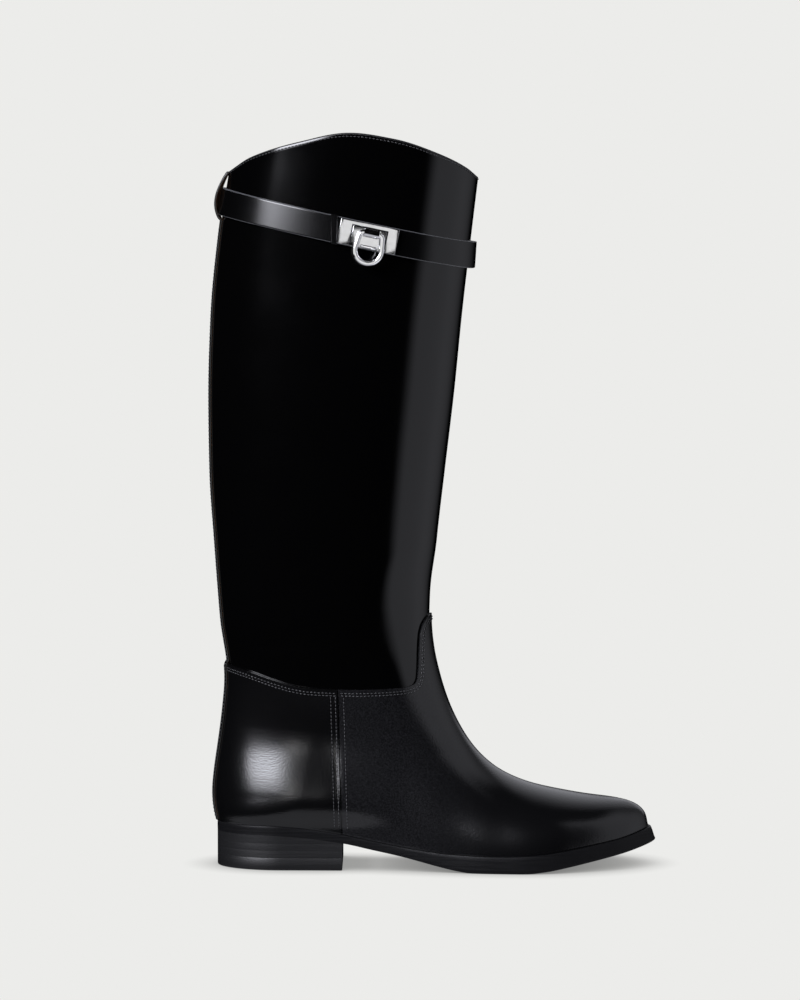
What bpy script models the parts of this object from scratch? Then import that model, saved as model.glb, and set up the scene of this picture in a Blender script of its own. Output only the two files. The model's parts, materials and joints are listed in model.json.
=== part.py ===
"""A tall leather riding boot for the right foot: upper, foot panels, belt with clasp, sole, heel.

The toe points along +X, the outer side faces -Y and +Z is up. The floor is z = 0, and the origin
is the middle of the heel's bottom face. Sizes are in millimetres and become metres in the meshes.
"""
import math

import bmesh
import bpy
import numpy as np
from mathutils import Matrix

MM = 0.001

# Driving sizes
GAP = 0.3                 # clearance between neighbouring pieces
WALL = 1.8                # leather and lining of the upper
PANEL = 1.2               # vamp panel
COUNTER_STEP = 0.4        # how far the heel panel stands above the vamp panel
STRIP = 1.2               # backstay
STRIP_HALF_WIDTH = 6.5
STRIP_STEP_LOW = 126.5    # over this height the backstay steps down from the heel panel to the shaft
STRIP_STEP_HIGH = 140.0
SHAFT_SPLIT = 0.46        # share of the rows that lie on the shaft
THROAT_BACK = 140.0       # height at which the rows of the foot begin
THROAT_FRONT = 165.0
SHAFT_ROWS = 10
FOOT_ROWS = 15
TOE_DENSITY = 1.4         # rows of the foot crowd together towards the toe
COLLAR_FADE = 2.6         # how soon the rows below the collar lose its curve
RIM_EASE = 1.5            # how the rows take on the curve of collar and feather line
SIDE_COLUMNS = 20         # facets from the back to the front, on each side
SOLE_COLUMNS = 30
CUTTER_HALF_DEPTH = 80.0  # cutters reach this far to both sides of the boot
PANEL_FRONT_X = 260.0     # and past the toe and the sole
PANEL_LOW_Z = -8.0
SEARCH_WIDTH = 30.0       # span in which the back's surface is searched
SEARCH_STEPS = 30

# Front profile of the outer leather, from above the collar down the shin and along the toe
FRONT = np.array([
    # x, z
    (126.4, 460.0), (117.9, 390.0), (112.4, 343.0), (107.4, 293.0), (101.6, 244.0),
    (96.6, 200.0), (94.3, 172.0), (93.6, 152.0), (95.0, 136.0), (98.4, 120.0),
    (104.2, 101.3), (113.3, 82.6), (122.2, 70.2), (136.2, 58.4), (154.8, 50.3),
    (173.4, 46.0), (192.0, 42.8), (207.5, 41.1), (216.0, 39.3),
])
NOSE = np.array([
    # x, z
    (216.0, 39.3), (222.6, 36.0), (226.8, 30.8), (228.0, 23.5),
])
BACK = np.array([
    # x, z
    (-25.6, 460.0), (-36.5, 390.0), (-41.3, 340.0), (-42.8, 290.0), (-42.3, 245.0),
    (-39.5, 200.0), (-36.6, 160.0), (-34.6, 136.0), (-33.0, 116.0), (-34.6, 96.0),
    (-37.2, 76.0), (-39.8, 58.0), (-40.9, 45.2), (-40.2, 36.0), (-38.4, 27.5),
])
# Top line of the collar
COLLAR = np.array([
    # x, z
    (-30.5, 428.4), (-16.5, 437.1), (12.6, 446.1), (43.0, 451.6), (70.7, 447.8),
    (99.7, 438.2), (115.0, 430.5), (122.2, 424.7),
])
# Feather line, where the leather meets the sole
FEATHER = np.array([
    # x, z
    (-38.4, 27.5), (-12.0, 27.6), (10.0, 26.4), (37.0, 22.7), (60.0, 17.9), (86.0, 13.4),
    (110.0, 11.2), (137.0, 10.6), (160.0, 11.6), (173.0, 13.1), (193.0, 16.2), (214.0, 20.0),
    (228.0, 23.5),
])
# Foot in plan and its cross sections: half widths, and how far and how fully the section rounds over
FOOT = np.array([
    # x, outer, inner, round, fullness
    (-40.0, 30.0, 30.0, 66.0, 1.8),
    (0.0, 30.5, 30.5, 66.0, 1.8),
    (37.0, 31.5, 30.0, 66.0, 1.8),
    (70.0, 33.5, 27.5, 66.0, 1.8),
    (100.0, 39.5, 30.5, 64.0, 1.7),
    (130.0, 45.0, 37.0, 52.0, 1.7),
    (150.0, 46.0, 40.5, 42.0, 1.8),
    (165.0, 44.5, 41.5, 36.0, 1.9),
    (185.0, 38.0, 39.5, 30.0, 2.1),
    (205.0, 29.0, 32.0, 25.0, 2.2),
    (228.0, 15.0, 18.0, 20.0, 2.2),
])
# Shaft levels: half width, and half length over which each end rounds
SHAFT = np.array([
    # z, half_width, round
    (20.0, 36.0, 64.0), (110.0, 36.5, 64.0), (140.0, 37.5, 64.0), (180.0, 39.5, 66.5),
    (230.0, 42.5, 71.0), (280.0, 44.5, 74.0), (330.0, 45.0, 76.5), (380.0, 44.5, 77.0),
    (460.0, 44.0, 76.0),
])
HEEL_ROUND = 32.0
NOSE_ROUND = 18.0
SWELL = 0.07              # the foot swells this much above the feather line
SWELL_HEIGHT = 60.0
FOOT_TOP = 45.0           # below this the foot's sections rule
SHAFT_FOOT = 120.0        # above this the shaft's levels rule

# Top edge of the foot panels: low round the ankle, then up the front as a tongue
SEAM = np.array([
    # x, z
    (-60.0, 127.0), (-33.5, 125.0), (-21.7, 122.5), (-4.6, 117.5), (7.6, 114.2), (19.2, 112.5),
    (48.0, 111.6), (65.5, 112.0), (77.0, 112.6), (82.6, 114.0), (85.0, 117.5), (85.8, 126.0),
    (86.2, 136.0), (87.0, 145.0), (89.0, 151.0), (93.0, 155.5), (100.0, 157.5), (140.0, 158.0),
])
SIDE_SEAM_TOP_X = 34.5    # joint of heel panel and vamp
SIDE_SEAM_BOTTOM_X = 37.0
SINK_FULL = 12.0          # the wall lies under the panels up to this far above their edge
SINK_END = 45.0

# Sole, heel and insole
SOLE_BOTTOM = np.array([
    # x, z
    (-42.0, 21.6), (-12.0, 21.6), (10.0, 20.4), (38.6, 16.8), (58.0, 12.6), (73.0, 9.4),
    (86.0, 6.3), (98.0, 3.4), (109.0, 1.1), (118.0, 0.0), (150.0, 0.0), (162.0, 1.0),
    (176.0, 3.3), (193.0, 6.5), (213.0, 10.6), (234.0, 15.6),
])
SOLE_EDGE = np.array([
    # x, top, bottom: how far the edge stands out past the leather
    (-42.0, 0.6, 0.6), (38.0, 0.8, 0.8), (75.0, 0.9, 0.7), (110.0, 1.8, 1.8), (150.0, 2.2, 2.4),
    (200.0, 2.0, 2.8), (228.0, 1.6, 4.2),
])
SOLE_CHAMFER = 0.6
HEEL_BREAST_X = 38.6
TOP_LIFT = 7.6
INSOLE = 3.0
INSOLE_DRAFT = 1.7        # its top edge leans in with the wall

# Belt and its clasp
BELT_WIDTH = 16.8
BELT = 2.4                # thickness
BELT_GAP = 0.4
BELT_SLACK = 1.6          # extra room at the front of the shaft, growing between the next two x
BELT_SLACK_FROM = 60.0
BELT_SLACK_TO = 125.0
BELT_CHAMFER = 0.5
BELT_END_SHARE = 0.05     # half the gap between the belt's ends, as a share of a facet
BELT_LEVEL = 402.6        # height of the belt's middle above the heel's centre
BELT_SLOPE = 0.22         # fall per length towards the toe
BELT_SAG = 1.6            # the sides hang a little below the plane
BELT_COLUMNS = 26         # facets on each side
LOOP_BOTTOM = 393.0
LOOP_TOP = 428.0
LOOP_REACH = 4.6
LOOP_TWIST = 0.16         # the loop turns its outer edge backwards
CLASP_X = 54.5
PLATE_LENGTH = 36.0
PLATE_HEIGHT = 15.3
PLATE = 1.8               # thickness
LEG_BACK = 7.3
LEG_FRONT = 6.5
PLATE_BAR = 2.3
LEAF_CLEARANCE = 0.45
LEAF = 1.6
BARREL_SHIFT = 1.6
BARREL_RISE = 2.0
BARREL_RADIUS = 2.6
BARREL_BORE = 1.95
BARREL_LENGTH = 9.4
BARREL_STAND = 2.3        # axis above the leaf's face
LIP_LENGTH = 10.6
LIP_RADIUS = 0.9
LIP_DROP = 6.4
RING_WIRE = 1.6           # radius of the wire
RING_BOW = 8.1
RING_DROP = 10.1
RING_SHOULDER = 2.6
KEEPER_WIDTH = 3.0
KEEPER = 1.0
KEEPER_SPACE = 1.4
KEEPER_OVERHANG = 0.6     # past each edge of the belt
KEEPER_CHAMFER = 0.3


def smooth(table, column=1):
    """A smooth curve through a table's rows, flat between equal values."""
    x = table[:, 0]
    y = table[:, column]
    step = np.diff(x)
    slope = np.diff(y) / step
    bend = np.zeros(len(x))
    same = slope[:-1] * slope[1:] > 0
    before = 2 * step[1:] + step[:-1]
    after = step[1:] + 2 * step[:-1]
    with np.errstate(divide="ignore", invalid="ignore"):
        middle = (before + after) / (before / slope[:-1] + after / slope[1:])
    bend[1:-1] = np.where(same, middle, 0.0)
    bend[0] = slope[0]
    bend[-1] = slope[-1]

    def at(value):
        value = np.clip(value, x[0], x[-1])
        i = np.clip(np.searchsorted(x, value) - 1, 0, len(x) - 2)
        t = (value - x[i]) / step[i]
        start = (1 + 2 * t) * (1 - t) ** 2 * y[i] + t * (1 - t) ** 2 * step[i] * bend[i]
        end = t ** 2 * (3 - 2 * t) * y[i + 1] + t ** 2 * (t - 1) * step[i] * bend[i + 1]
        return start + end

    return at


def profile(points, samples=240):
    """A smooth line through profile points, as many short straight steps."""
    length = np.concatenate([[0], np.cumsum(np.hypot(*np.diff(points, axis=0).T))])
    at = np.linspace(0, length[-1], samples)
    x = smooth(np.column_stack([length, points[:, 0]]))(at)
    z = smooth(np.column_stack([length, points[:, 1]]))(at)
    return np.column_stack([x, z])


def distance(line, x, z):
    """Distance of points from a profile line in the side view."""
    point = np.stack([x, z], axis=-1)[..., None, :]
    start = line[:-1]
    run = line[1:] - start
    t = np.clip(((point - start) * run).sum(-1) / (run ** 2).sum(-1), 0, 1)
    return np.sqrt((((start + t[..., None] * run) - point) ** 2).sum(-1)).min(-1)


def ease(low, high, value):
    t = np.clip((value - low) / (high - low), 0, 1)
    return t * t * (3 - 2 * t)


def mix(a, b, share):
    return a + (b - a) * share


def arch(q, fullness):
    """Rounds a section over: 0 at its edge, 1 where it reaches full width."""
    return np.sqrt(1 - (1 - np.clip(q, 0, 1)) ** fullness)


front_line = profile(FRONT)
nose_line = profile(NOSE, 40)
back_line = profile(BACK)
front_and_nose = np.vstack([front_line, nose_line[1:]])
front_run = np.concatenate([[0], np.cumsum(np.hypot(*np.diff(front_and_nose, axis=0).T))])
back_x = smooth(BACK[::-1][:, ::-1])
collar_z = smooth(COLLAR)
feather_z = smooth(FEATHER)
seam_z = smooth(SEAM)
seam_line = np.column_stack([np.linspace(-60, 140, 401), seam_z(np.linspace(-60, 140, 401))])
foot_outer = smooth(FOOT, 1)
foot_inner = smooth(FOOT, 2)
foot_round = smooth(FOOT, 3)
foot_fullness = smooth(FOOT, 4)
shaft_half = smooth(SHAFT, 1)
shaft_round = smooth(SHAFT, 2)
sole_z = smooth(SOLE_BOTTOM)
edge_top = smooth(SOLE_EDGE, 1)
edge_bottom = smooth(SOLE_EDGE, 2)


def half_width(x, z, outer_side):
    """Half width of the boot at a place in its side view, on the outer or the inner side."""
    in_shaft = ease(FOOT_TOP, SHAFT_FOOT, z)
    plan = foot_outer(x) if outer_side else foot_inner(x)
    rise = np.clip((z - feather_z(x)) / SWELL_HEIGHT, 0, 1)
    foot = plan * (1 + SWELL * np.sin(math.pi * rise))
    broad = mix(foot, shaft_half(z), in_shaft)
    reach = mix(foot_round(x), shaft_round(z), in_shaft)
    fullness = mix(foot_fullness(x), 2.0, in_shaft)
    heel = mix(HEEL_ROUND, shaft_round(z), in_shaft)
    top = arch(distance(front_line, x, z) / reach, fullness)
    nose = arch(distance(nose_line, x, z) / NOSE_ROUND, 2.0)
    back = arch(distance(back_line, x, z) / heel, 2.0)
    return broad * top * nose * back


def along_front(run):
    """Point of the front profile at a length along it."""
    x = np.interp(run, front_run, front_and_nose[:, 0])
    z = np.interp(run, front_run, front_and_nose[:, 1])
    return x, z


def row_line(t, columns):
    """One row of the upper in the side view, back to front: t is 0 at the collar, 1 at the sole."""
    throat_run = np.interp(THROAT_FRONT, front_and_nose[::-1, 1], front_run[::-1])
    collar_run = np.interp(COLLAR[-1, 1], front_and_nose[::-1, 1], front_run[::-1])
    if t <= SHAFT_SPLIT:
        share = t / SHAFT_SPLIT
        zb = mix(COLLAR[0, 1], THROAT_BACK, share)
        run = mix(collar_run, throat_run, share)
    else:
        share = (t - SHAFT_SPLIT) / (1 - SHAFT_SPLIT)
        zb = mix(THROAT_BACK, FEATHER[0, 1], share)
        run = mix(throat_run, front_run[-1], share)
    xb = back_x(zb)
    xf, zf = along_front(run)
    s = (1 - np.cos(np.linspace(0, math.pi, columns + 1))) / 2
    x = mix(xb, xf, s)
    z = mix(zb, zf, s)
    collar_x = mix(COLLAR[0, 0], COLLAR[-1, 0], s)
    collar_rise = collar_z(collar_x) - mix(COLLAR[0, 1], COLLAR[-1, 1], s)
    feather_x = mix(FEATHER[0, 0], FEATHER[-1, 0], s)
    feather_sag = feather_z(feather_x) - mix(FEATHER[0, 1], FEATHER[-1, 1], s)
    near_collar = max(0.0, 1 - COLLAR_FADE * t / SHAFT_SPLIT) ** RIM_EASE
    near_feather = max(0.0, (t - SHAFT_SPLIT) / (1 - SHAFT_SPLIT)) ** RIM_EASE
    return x, z + near_collar * collar_rise + near_feather * feather_sag


def ring_of(x, z, outer_y, inner_y):
    """Closes a side line into a ring: back, outer side, front, inner side."""
    outer = np.column_stack([x, -outer_y, z])
    inner = np.column_stack([x, inner_y, z])
    return np.vstack([outer, inner[-2:0:-1]])


def envelope(rows, columns=SIDE_COLUMNS):
    """The boot's outer form as rings from collar to feather line, with the outward normals."""
    rings = []
    for t in rows:
        x, z = row_line(t, columns)
        outer = half_width(x, z, True)
        inner = half_width(x, z, False)
        outer[[0, -1]] = 0
        inner[[0, -1]] = 0
        rings.append(ring_of(x, z, outer, inner))
    grid = np.array(rings)
    down = np.gradient(grid, axis=0)
    around = np.roll(grid, -1, axis=1) - np.roll(grid, 1, axis=1)
    normal = np.cross(down, around)
    normal /= np.linalg.norm(normal, axis=2, keepdims=True)
    return grid, normal


def sink(grid):
    """How deep the upper's wall lies under the foot panels' outer face."""
    x = grid[..., 0]
    z = grid[..., 2]
    above = distance(seam_line, x, z) * np.sign(z - seam_z(x))
    return (PANEL + GAP) * (1 - ease(SINK_FULL, SINK_END, above))


def skin(grid, normal, offset):
    """The envelope moved along its normals; its last ring stays on the feather line."""
    moved = grid + normal * np.broadcast_to(offset, grid.shape[:2])[..., None]
    moved[-1, :, 2] = feather_z(moved[-1, :, 0])
    return moved


def material(name, colour, roughness, metallic=0.0):
    made = bpy.data.materials.new(name)
    made.use_nodes = True
    shader = made.node_tree.nodes["Principled BSDF"]
    shader.inputs["Base Color"].default_value = (*colour, 1.0)
    shader.inputs["Roughness"].default_value = roughness
    shader.inputs["Metallic"].default_value = metallic
    return made


def finish(name, bm, look, parent=None):
    """Makes a named object of a closed bmesh that is in millimetres."""
    bmesh.ops.recalc_face_normals(bm, faces=bm.faces)
    bmesh.ops.scale(bm, vec=(MM, MM, MM), verts=bm.verts)
    mesh = bpy.data.meshes.new(name)
    bm.to_mesh(mesh)
    bm.free()
    mesh.materials.append(look)
    mesh.shade_smooth()
    mesh.set_sharp_from_angle(angle=math.radians(35))
    made = bpy.data.objects.new(name, mesh)
    made.parent = parent
    bpy.context.scene.collection.objects.link(made)
    return made


def loft(rings, wrap=False, fold=None):
    """Joins rings of equal size; caps the two ends, or joins the last ring to the first.

    The facets are split along one diagonal, and along the other one after the ring numbered fold,
    where the rings run back, so that both skins of a wall have the same facets.
    """
    bm = bmesh.new()
    made = [[bm.verts.new(point) for point in ring] for ring in rings]
    count = len(made[0])
    pairs = list(zip(made, made[1:]))
    if wrap:
        pairs.append((made[-1], made[0]))
    for number, (upper, lower) in enumerate(pairs):
        back = fold is not None and number >= fold
        for i in range(count):
            j = (i + 1) % count
            if back:
                a, b, c, d = lower[i], lower[j], upper[j], upper[i]
            else:
                a, b, c, d = upper[i], lower[i], lower[j], upper[j]
            bm.faces.new((a, b, c))
            bm.faces.new((a, c, d))
    if not wrap:
        for ring in (made[0], made[-1]):
            for i in range(count // 2):
                other = (count - i - 1) % count, (count - i) % count
                corners = [ring[i], ring[i + 1], ring[other[0]], ring[other[1]]]
                bm.faces.new(list(dict.fromkeys(corners)))
    return bm


def shell(outer, inner):
    """A wall between two skins of the same rows, closed along both rims."""
    return loft(list(outer) + list(inner[::-1]), wrap=True, fold=len(outer))


def prism(name, outline):
    """A cutter: an outline of the side view, drawn out across the boot."""
    bm = bmesh.new()
    face = bm.faces.new([bm.verts.new((x, -CUTTER_HALF_DEPTH, z)) for x, z in outline])
    made = bmesh.ops.extrude_face_region(bm, geom=[face])
    moved = [v for v in made["geom"] if isinstance(v, bmesh.types.BMVert)]
    bmesh.ops.translate(bm, verts=moved, vec=(0.0, 2 * CUTTER_HALF_DEPTH, 0.0))
    cutter = finish(name, bm, leather)
    cutter.hide_render = True
    cutter.display_type = "WIRE"
    return cutter


def boolean(target, cutter, operation):
    cut = target.modifiers.new(operation.lower(), "BOOLEAN")
    cut.operation = operation
    cut.solver = "EXACT"
    cut.object = cutter


def make_upper(grid, normal):
    """Shaft and foot in one wall, open at the collar and along the feather line."""
    under = -sink(grid)
    outer = skin(grid, normal, under)
    inner = skin(grid, normal, under - WALL)
    finish("upper", shell(outer, inner), leather)


def make_panels(rows):
    """Vamp and heel panel: a thin wall over the foot, cut at its top edge and at the side seam."""
    grid, normal = envelope(rows)
    seam_x = np.unique(np.concatenate([np.linspace(SEAM[0, 0], SEAM[-1, 0], 21), SEAM[:, 0]]))
    behind = seam_x[seam_x < SIDE_SEAM_TOP_X - GAP]
    before = seam_x[seam_x > SIDE_SEAM_TOP_X + GAP]
    joint_z = seam_z(SIDE_SEAM_TOP_X)
    half = GAP / 2
    counter_outline = [(x, seam_z(x)) for x in behind]
    counter_outline.append((SIDE_SEAM_TOP_X - half, joint_z))
    counter_outline.append((SIDE_SEAM_BOTTOM_X - half, PANEL_LOW_Z))
    counter_outline.append((SEAM[0, 0], PANEL_LOW_Z))
    vamp_outline = [(SIDE_SEAM_TOP_X + half, joint_z)] + [(x, seam_z(x)) for x in before]
    vamp_outline += [(PANEL_FRONT_X, SEAM[-1, 1]), (PANEL_FRONT_X, PANEL_LOW_Z)]
    vamp_outline.append((SIDE_SEAM_BOTTOM_X + half, PANEL_LOW_Z))
    inner = skin(grid, normal, -PANEL)
    for name, outline, step in (("counter", counter_outline, COUNTER_STEP), ("vamp", vamp_outline, 0.0)):
        panel = finish(name, shell(skin(grid, normal, step), inner), leather)
        boolean(panel, prism(name + "_outline", outline), "INTERSECT")


def back_of_shaft(y, z):
    """x of the outer form at the back, at a distance y from the middle plane."""
    side = y <= 0
    low = back_x(z)
    high = low + SEARCH_WIDTH
    for _ in range(SEARCH_STEPS):
        middle = (low + high) / 2
        wide = half_width(np.array([middle]), np.array([z]), side)[0] > abs(y)
        low, high = (low, middle) if wide else (middle, high)
    return (low + high) / 2


def loop_out(z):
    """How far the strip stands off as the belt's loop."""
    t = np.clip((z - LOOP_BOTTOM) / (LOOP_TOP - LOOP_BOTTOM), 0, 1)
    return LOOP_REACH * np.sin(math.pi * t ** 0.85) ** 0.8


def make_backstay():
    """Strip down the middle of the back, over the heel panel, standing off at the top as a loop."""
    stretches = (
        # low, high, levels
        (FEATHER[0, 1] + 0.2, 120.0, 13), (127.0, 145.0, 4),
        (165.0, LOOP_BOTTOM, 10), (LOOP_BOTTOM + 3, LOOP_TOP, 12),
    )
    levels = np.concatenate([np.linspace(low, high, count) for low, high, count in stretches])
    across = np.linspace(-STRIP_HALF_WIDTH, STRIP_HALF_WIDTH, 5)
    rings = []
    for z in levels:
        spine = np.array([[back_x(z), 0.0, z]])
        wall = -sink(spine)[0]
        lift = mix(COUNTER_STEP, wall, ease(STRIP_STEP_LOW, STRIP_STEP_HIGH, z)) + GAP
        out = loop_out(z)
        turn = LOOP_TWIST * out / LOOP_REACH
        face = np.array([back_of_shaft(y, z) - lift - out + turn * y for y in across])
        inner = np.column_stack([face, across, np.full(5, z)])
        outer = np.column_stack([face - STRIP, across, np.full(5, z)])
        rings.append(np.vstack([inner, outer[::-1]]))
    finish("backstay", loft(rings), leather)


def belt_level(x, y):
    return BELT_LEVEL - BELT_SLOPE * x - BELT_SAG * abs(y) / shaft_half(BELT_LEVEL)


def belt_skin(offset, rise, columns=BELT_COLUMNS):
    """Ring round the shaft at a height above the belt's middle, moved off the leather."""
    level = np.full(columns + 1, BELT_LEVEL)
    s = (1 - np.cos(np.linspace(0, math.pi, columns + 1))) / 2
    for _ in range(4):
        xb = back_x(level[0])
        xf = np.interp(level[-1], front_line[::-1, 1], front_line[::-1, 0])
        x = mix(xb, xf, s)
        wide = half_width(x, level, True)
        level = belt_level(x, wide) + rise
    wide[[0, -1]] = 0
    ring = ring_of(x, level, wide, wide)
    around = np.roll(ring, -1, axis=0) - np.roll(ring, 1, axis=0)
    normal = np.column_stack([around[:, 1], -around[:, 0], np.zeros(len(ring))])
    normal /= np.linalg.norm(normal, axis=1, keepdims=True)
    slack = BELT_SLACK * ease(BELT_SLACK_FROM, BELT_SLACK_TO, ring[:, 0])
    return ring + normal * (offset + slack)[:, None]


def belt_sections(inner, outer, half_height, chamfer):
    """Cross sections of a strap round the shaft, with its edges broken."""
    near = belt_skin(inner, half_height - chamfer), belt_skin(inner, chamfer - half_height)
    far = belt_skin(outer, half_height - chamfer), belt_skin(outer, chamfer - half_height)
    top = belt_skin(inner + chamfer, half_height), belt_skin(outer - chamfer, half_height)
    low = belt_skin(inner + chamfer, -half_height), belt_skin(outer - chamfer, -half_height)
    lines = [near[0], top[0], top[1], far[0], far[1], low[1], low[0], near[1]]
    return np.stack(lines, axis=1)


def clasp_matrix():
    """Place and turn of the clasp: on the belt's outer face, along the strap."""
    outer = belt_skin(BELT_GAP + BELT, 0.0)[1:BELT_COLUMNS]
    y = np.interp(CLASP_X, outer[:, 0], outer[:, 1])
    z = np.interp(CLASP_X, outer[:, 0], outer[:, 2])
    ahead = np.array([10.0, 0.0, 0.0])
    for axis in (1, 2):
        ends = np.interp([CLASP_X - 5, CLASP_X + 5], outer[:, 0], outer[:, axis])
        ahead[axis] = ends[1] - ends[0]
    along = ahead / np.linalg.norm(ahead)
    inward = np.array([-along[1], along[0], 0.0])
    inward /= np.linalg.norm(inward)
    up = np.cross(along, inward)
    turn = Matrix((along, inward, up)).transposed().to_4x4()
    return Matrix.Translation((CLASP_X * MM, y * MM, z * MM)) @ turn


def make_belt():
    """Strap round the shaft: its two ends meet under the clasp, and a keeper sits beside the plate."""
    sections = belt_sections(BELT_GAP, BELT_GAP + BELT, BELT_WIDTH / 2, BELT_CHAMFER)
    middle = np.argmin(abs(sections[1:BELT_COLUMNS, 0, 0] - CLASP_X)) + 1
    strap = np.roll(sections, -middle, axis=0)
    ends = np.stack([strap[0], strap[0]])
    ends[0] += (strap[1] - strap[0]) * BELT_END_SHARE
    ends[1] += (strap[-1] - strap[0]) * BELT_END_SHARE
    finish("belt", loft(np.concatenate([ends[:1], strap[1:], ends[1:]])), leather)

    face = BELT_GAP + BELT + GAP
    half = BELT_WIDTH / 2 + KEEPER_OVERHANG
    band = belt_sections(face, face + KEEPER, half, KEEPER_CHAMFER)[1:BELT_COLUMNS]
    plate_end = CLASP_X - PLATE_LENGTH / 2 * math.cos(math.atan(BELT_SLOPE))
    rings = []
    for x in np.linspace(plate_end - KEEPER_SPACE - KEEPER_WIDTH, plate_end - KEEPER_SPACE, 3):
        ring = np.empty((band.shape[1], 3))
        for corner in range(band.shape[1]):
            for axis in range(3):
                ring[corner, axis] = np.interp(x, band[:, 0, 0], band[:, corner, axis])
        rings.append(ring)
    finish("belt_keeper", loft(rings), leather)


def box(bm, low, high):
    """A box between two corners."""
    size = [b - a for a, b in zip(low, high)]
    middle = [(a + b) / 2 for a, b in zip(low, high)]
    made = bmesh.ops.create_cube(bm, size=1.0)
    bmesh.ops.scale(bm, vec=size, verts=made["verts"])
    bmesh.ops.translate(bm, vec=middle, verts=made["verts"])


def rod(bm, radius, length, middle, sides=24):
    """A round rod along the strap's direction."""
    turn = Matrix.Translation(middle) @ Matrix.Rotation(math.radians(90), 4, "Y")
    bmesh.ops.create_cone(bm, cap_ends=True, segments=sides, radius1=radius, radius2=radius,
                          depth=length, matrix=turn)


def edge_break(piece, width, segments=2):
    """Rounds the sharp edges of a metal piece."""
    bevel = piece.modifiers.new("edge break", "BEVEL")
    bevel.width = width * MM
    bevel.segments = segments
    bevel.limit_method = "ANGLE"
    bevel.angle_limit = math.radians(50)


def guide(name, bm, parent):
    """A cutter or a part to be joined, which is no piece of its own."""
    made = finish(name, bm, steel, parent)
    made.hide_render = True
    made.display_type = "WIRE"
    return made


def make_clasp():
    """Plate with its open cut-out, the leaf that fills it with barrel and lip, and the hanging ring."""
    seat = bpy.data.objects.new("clasp_seat", None)
    seat.matrix_world = clasp_matrix()
    bpy.context.scene.collection.objects.link(seat)
    half = PLATE_LENGTH / 2
    top = PLATE_HEIGHT / 2
    left = LEG_BACK - half
    right = half - LEG_FRONT

    bm = bmesh.new()
    outline = [(-half, top), (half, top), (half, -top), (right, -top), (right, top - PLATE_BAR),
               (left, top - PLATE_BAR), (left, -top), (-half, -top)]
    side = bm.faces.new([bm.verts.new((x, -GAP, z)) for x, z in outline])
    grown = bmesh.ops.extrude_face_region(bm, geom=[side])
    moved = [v for v in grown["geom"] if isinstance(v, bmesh.types.BMVert)]
    bmesh.ops.translate(bm, verts=moved, vec=(0.0, -PLATE, 0.0))
    plate = finish("clasp_plate", bm, steel, seat)
    edge_break(plate, 0.4)

    bm = bmesh.new()
    leaf_face = -GAP - LEAF
    leaf_top = top - PLATE_BAR - LEAF_CLEARANCE
    box(bm, (left + LEAF_CLEARANCE, leaf_face, -top), (right - LEAF_CLEARANCE, -GAP, leaf_top))
    leaf = finish("clasp_leaf", bm, steel, seat)
    axis = (BARREL_SHIFT, leaf_face - BARREL_STAND, BARREL_RISE)
    bm = bmesh.new()
    rod(bm, BARREL_RADIUS, BARREL_LENGTH, axis)
    boolean(leaf, guide("barrel_form", bm, seat), "UNION")
    bm = bmesh.new()
    rod(bm, LIP_RADIUS, LIP_LENGTH, (BARREL_SHIFT, leaf_face, -LIP_DROP), 12)
    boolean(leaf, guide("lip_form", bm, seat), "UNION")
    bm = bmesh.new()
    rod(bm, BARREL_BORE, BARREL_LENGTH + 2, axis)
    boolean(leaf, guide("bore_form", bm, seat), "DIFFERENCE")

    ring = finish("clasp_ring", loft(ring_sections(), wrap=True), steel, seat)
    ring.location = [value * MM for value in axis]


def ring_sections():
    """Round sections along the ring's bar, shoulders and bow; the bar's axis is the origin."""
    bar = BARREL_LENGTH / 2 - 0.1
    reach = math.hypot(bar, RING_DROP - RING_SHOULDER)
    lean = math.atan2(RING_DROP - RING_SHOULDER, bar) - math.acos((RING_BOW - RING_SHOULDER) / reach)
    arcs = (
        # middle_x, middle_z, radius, first angle, last angle, steps
        (bar, -RING_SHOULDER, RING_SHOULDER, math.pi / 2, lean, 5),
        (0.0, -RING_DROP, RING_BOW, lean, -math.pi - lean, 25),
        (-bar, -RING_SHOULDER, RING_SHOULDER, math.pi - lean, math.pi / 2, 5),
    )
    path = []
    for middle_x, middle_z, radius, first, last, steps in arcs:
        for angle in np.linspace(first, last, steps):
            path.append((middle_x + radius * math.cos(angle), middle_z + radius * math.sin(angle), angle))
    rings = []
    for x, z, angle in path:
        ring = []
        for turn in np.linspace(0, 2 * math.pi, 10, endpoint=False):
            out = RING_WIRE * math.cos(turn)
            ring.append((x + out * math.cos(angle), RING_WIRE * math.sin(turn), z + out * math.sin(angle)))
        rings.append(ring)
    return rings


def plan_ring(margin, height, inset=0.0, last_x=None, columns=SOLE_COLUMNS):
    """The foot's outline in plan, grown by a margin, at a height that depends on x."""
    grid, _ = envelope([0.98, 1.0], columns)
    ring = grid[1].copy()
    around = np.roll(ring, -1, axis=0) - np.roll(ring, 1, axis=0)
    normal = np.column_stack([around[:, 1], -around[:, 0]])
    normal /= np.linalg.norm(normal, axis=1, keepdims=True)
    ring[:, :2] += normal * (margin(ring[:, 0]) - inset)[:, None]
    if last_x is not None:
        outer = ring[:columns + 1]
        inner = np.vstack([ring[:1], ring[:columns - 1:-1]])
        s = 1 - np.cos(np.linspace(0, math.pi / 2, columns + 1))
        x = mix(ring[0, 0], last_x - inset, s)
        ring = ring_of_heel(x, outer, inner)
    ring[:, 2] = height(ring[:, 0])
    return ring


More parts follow.
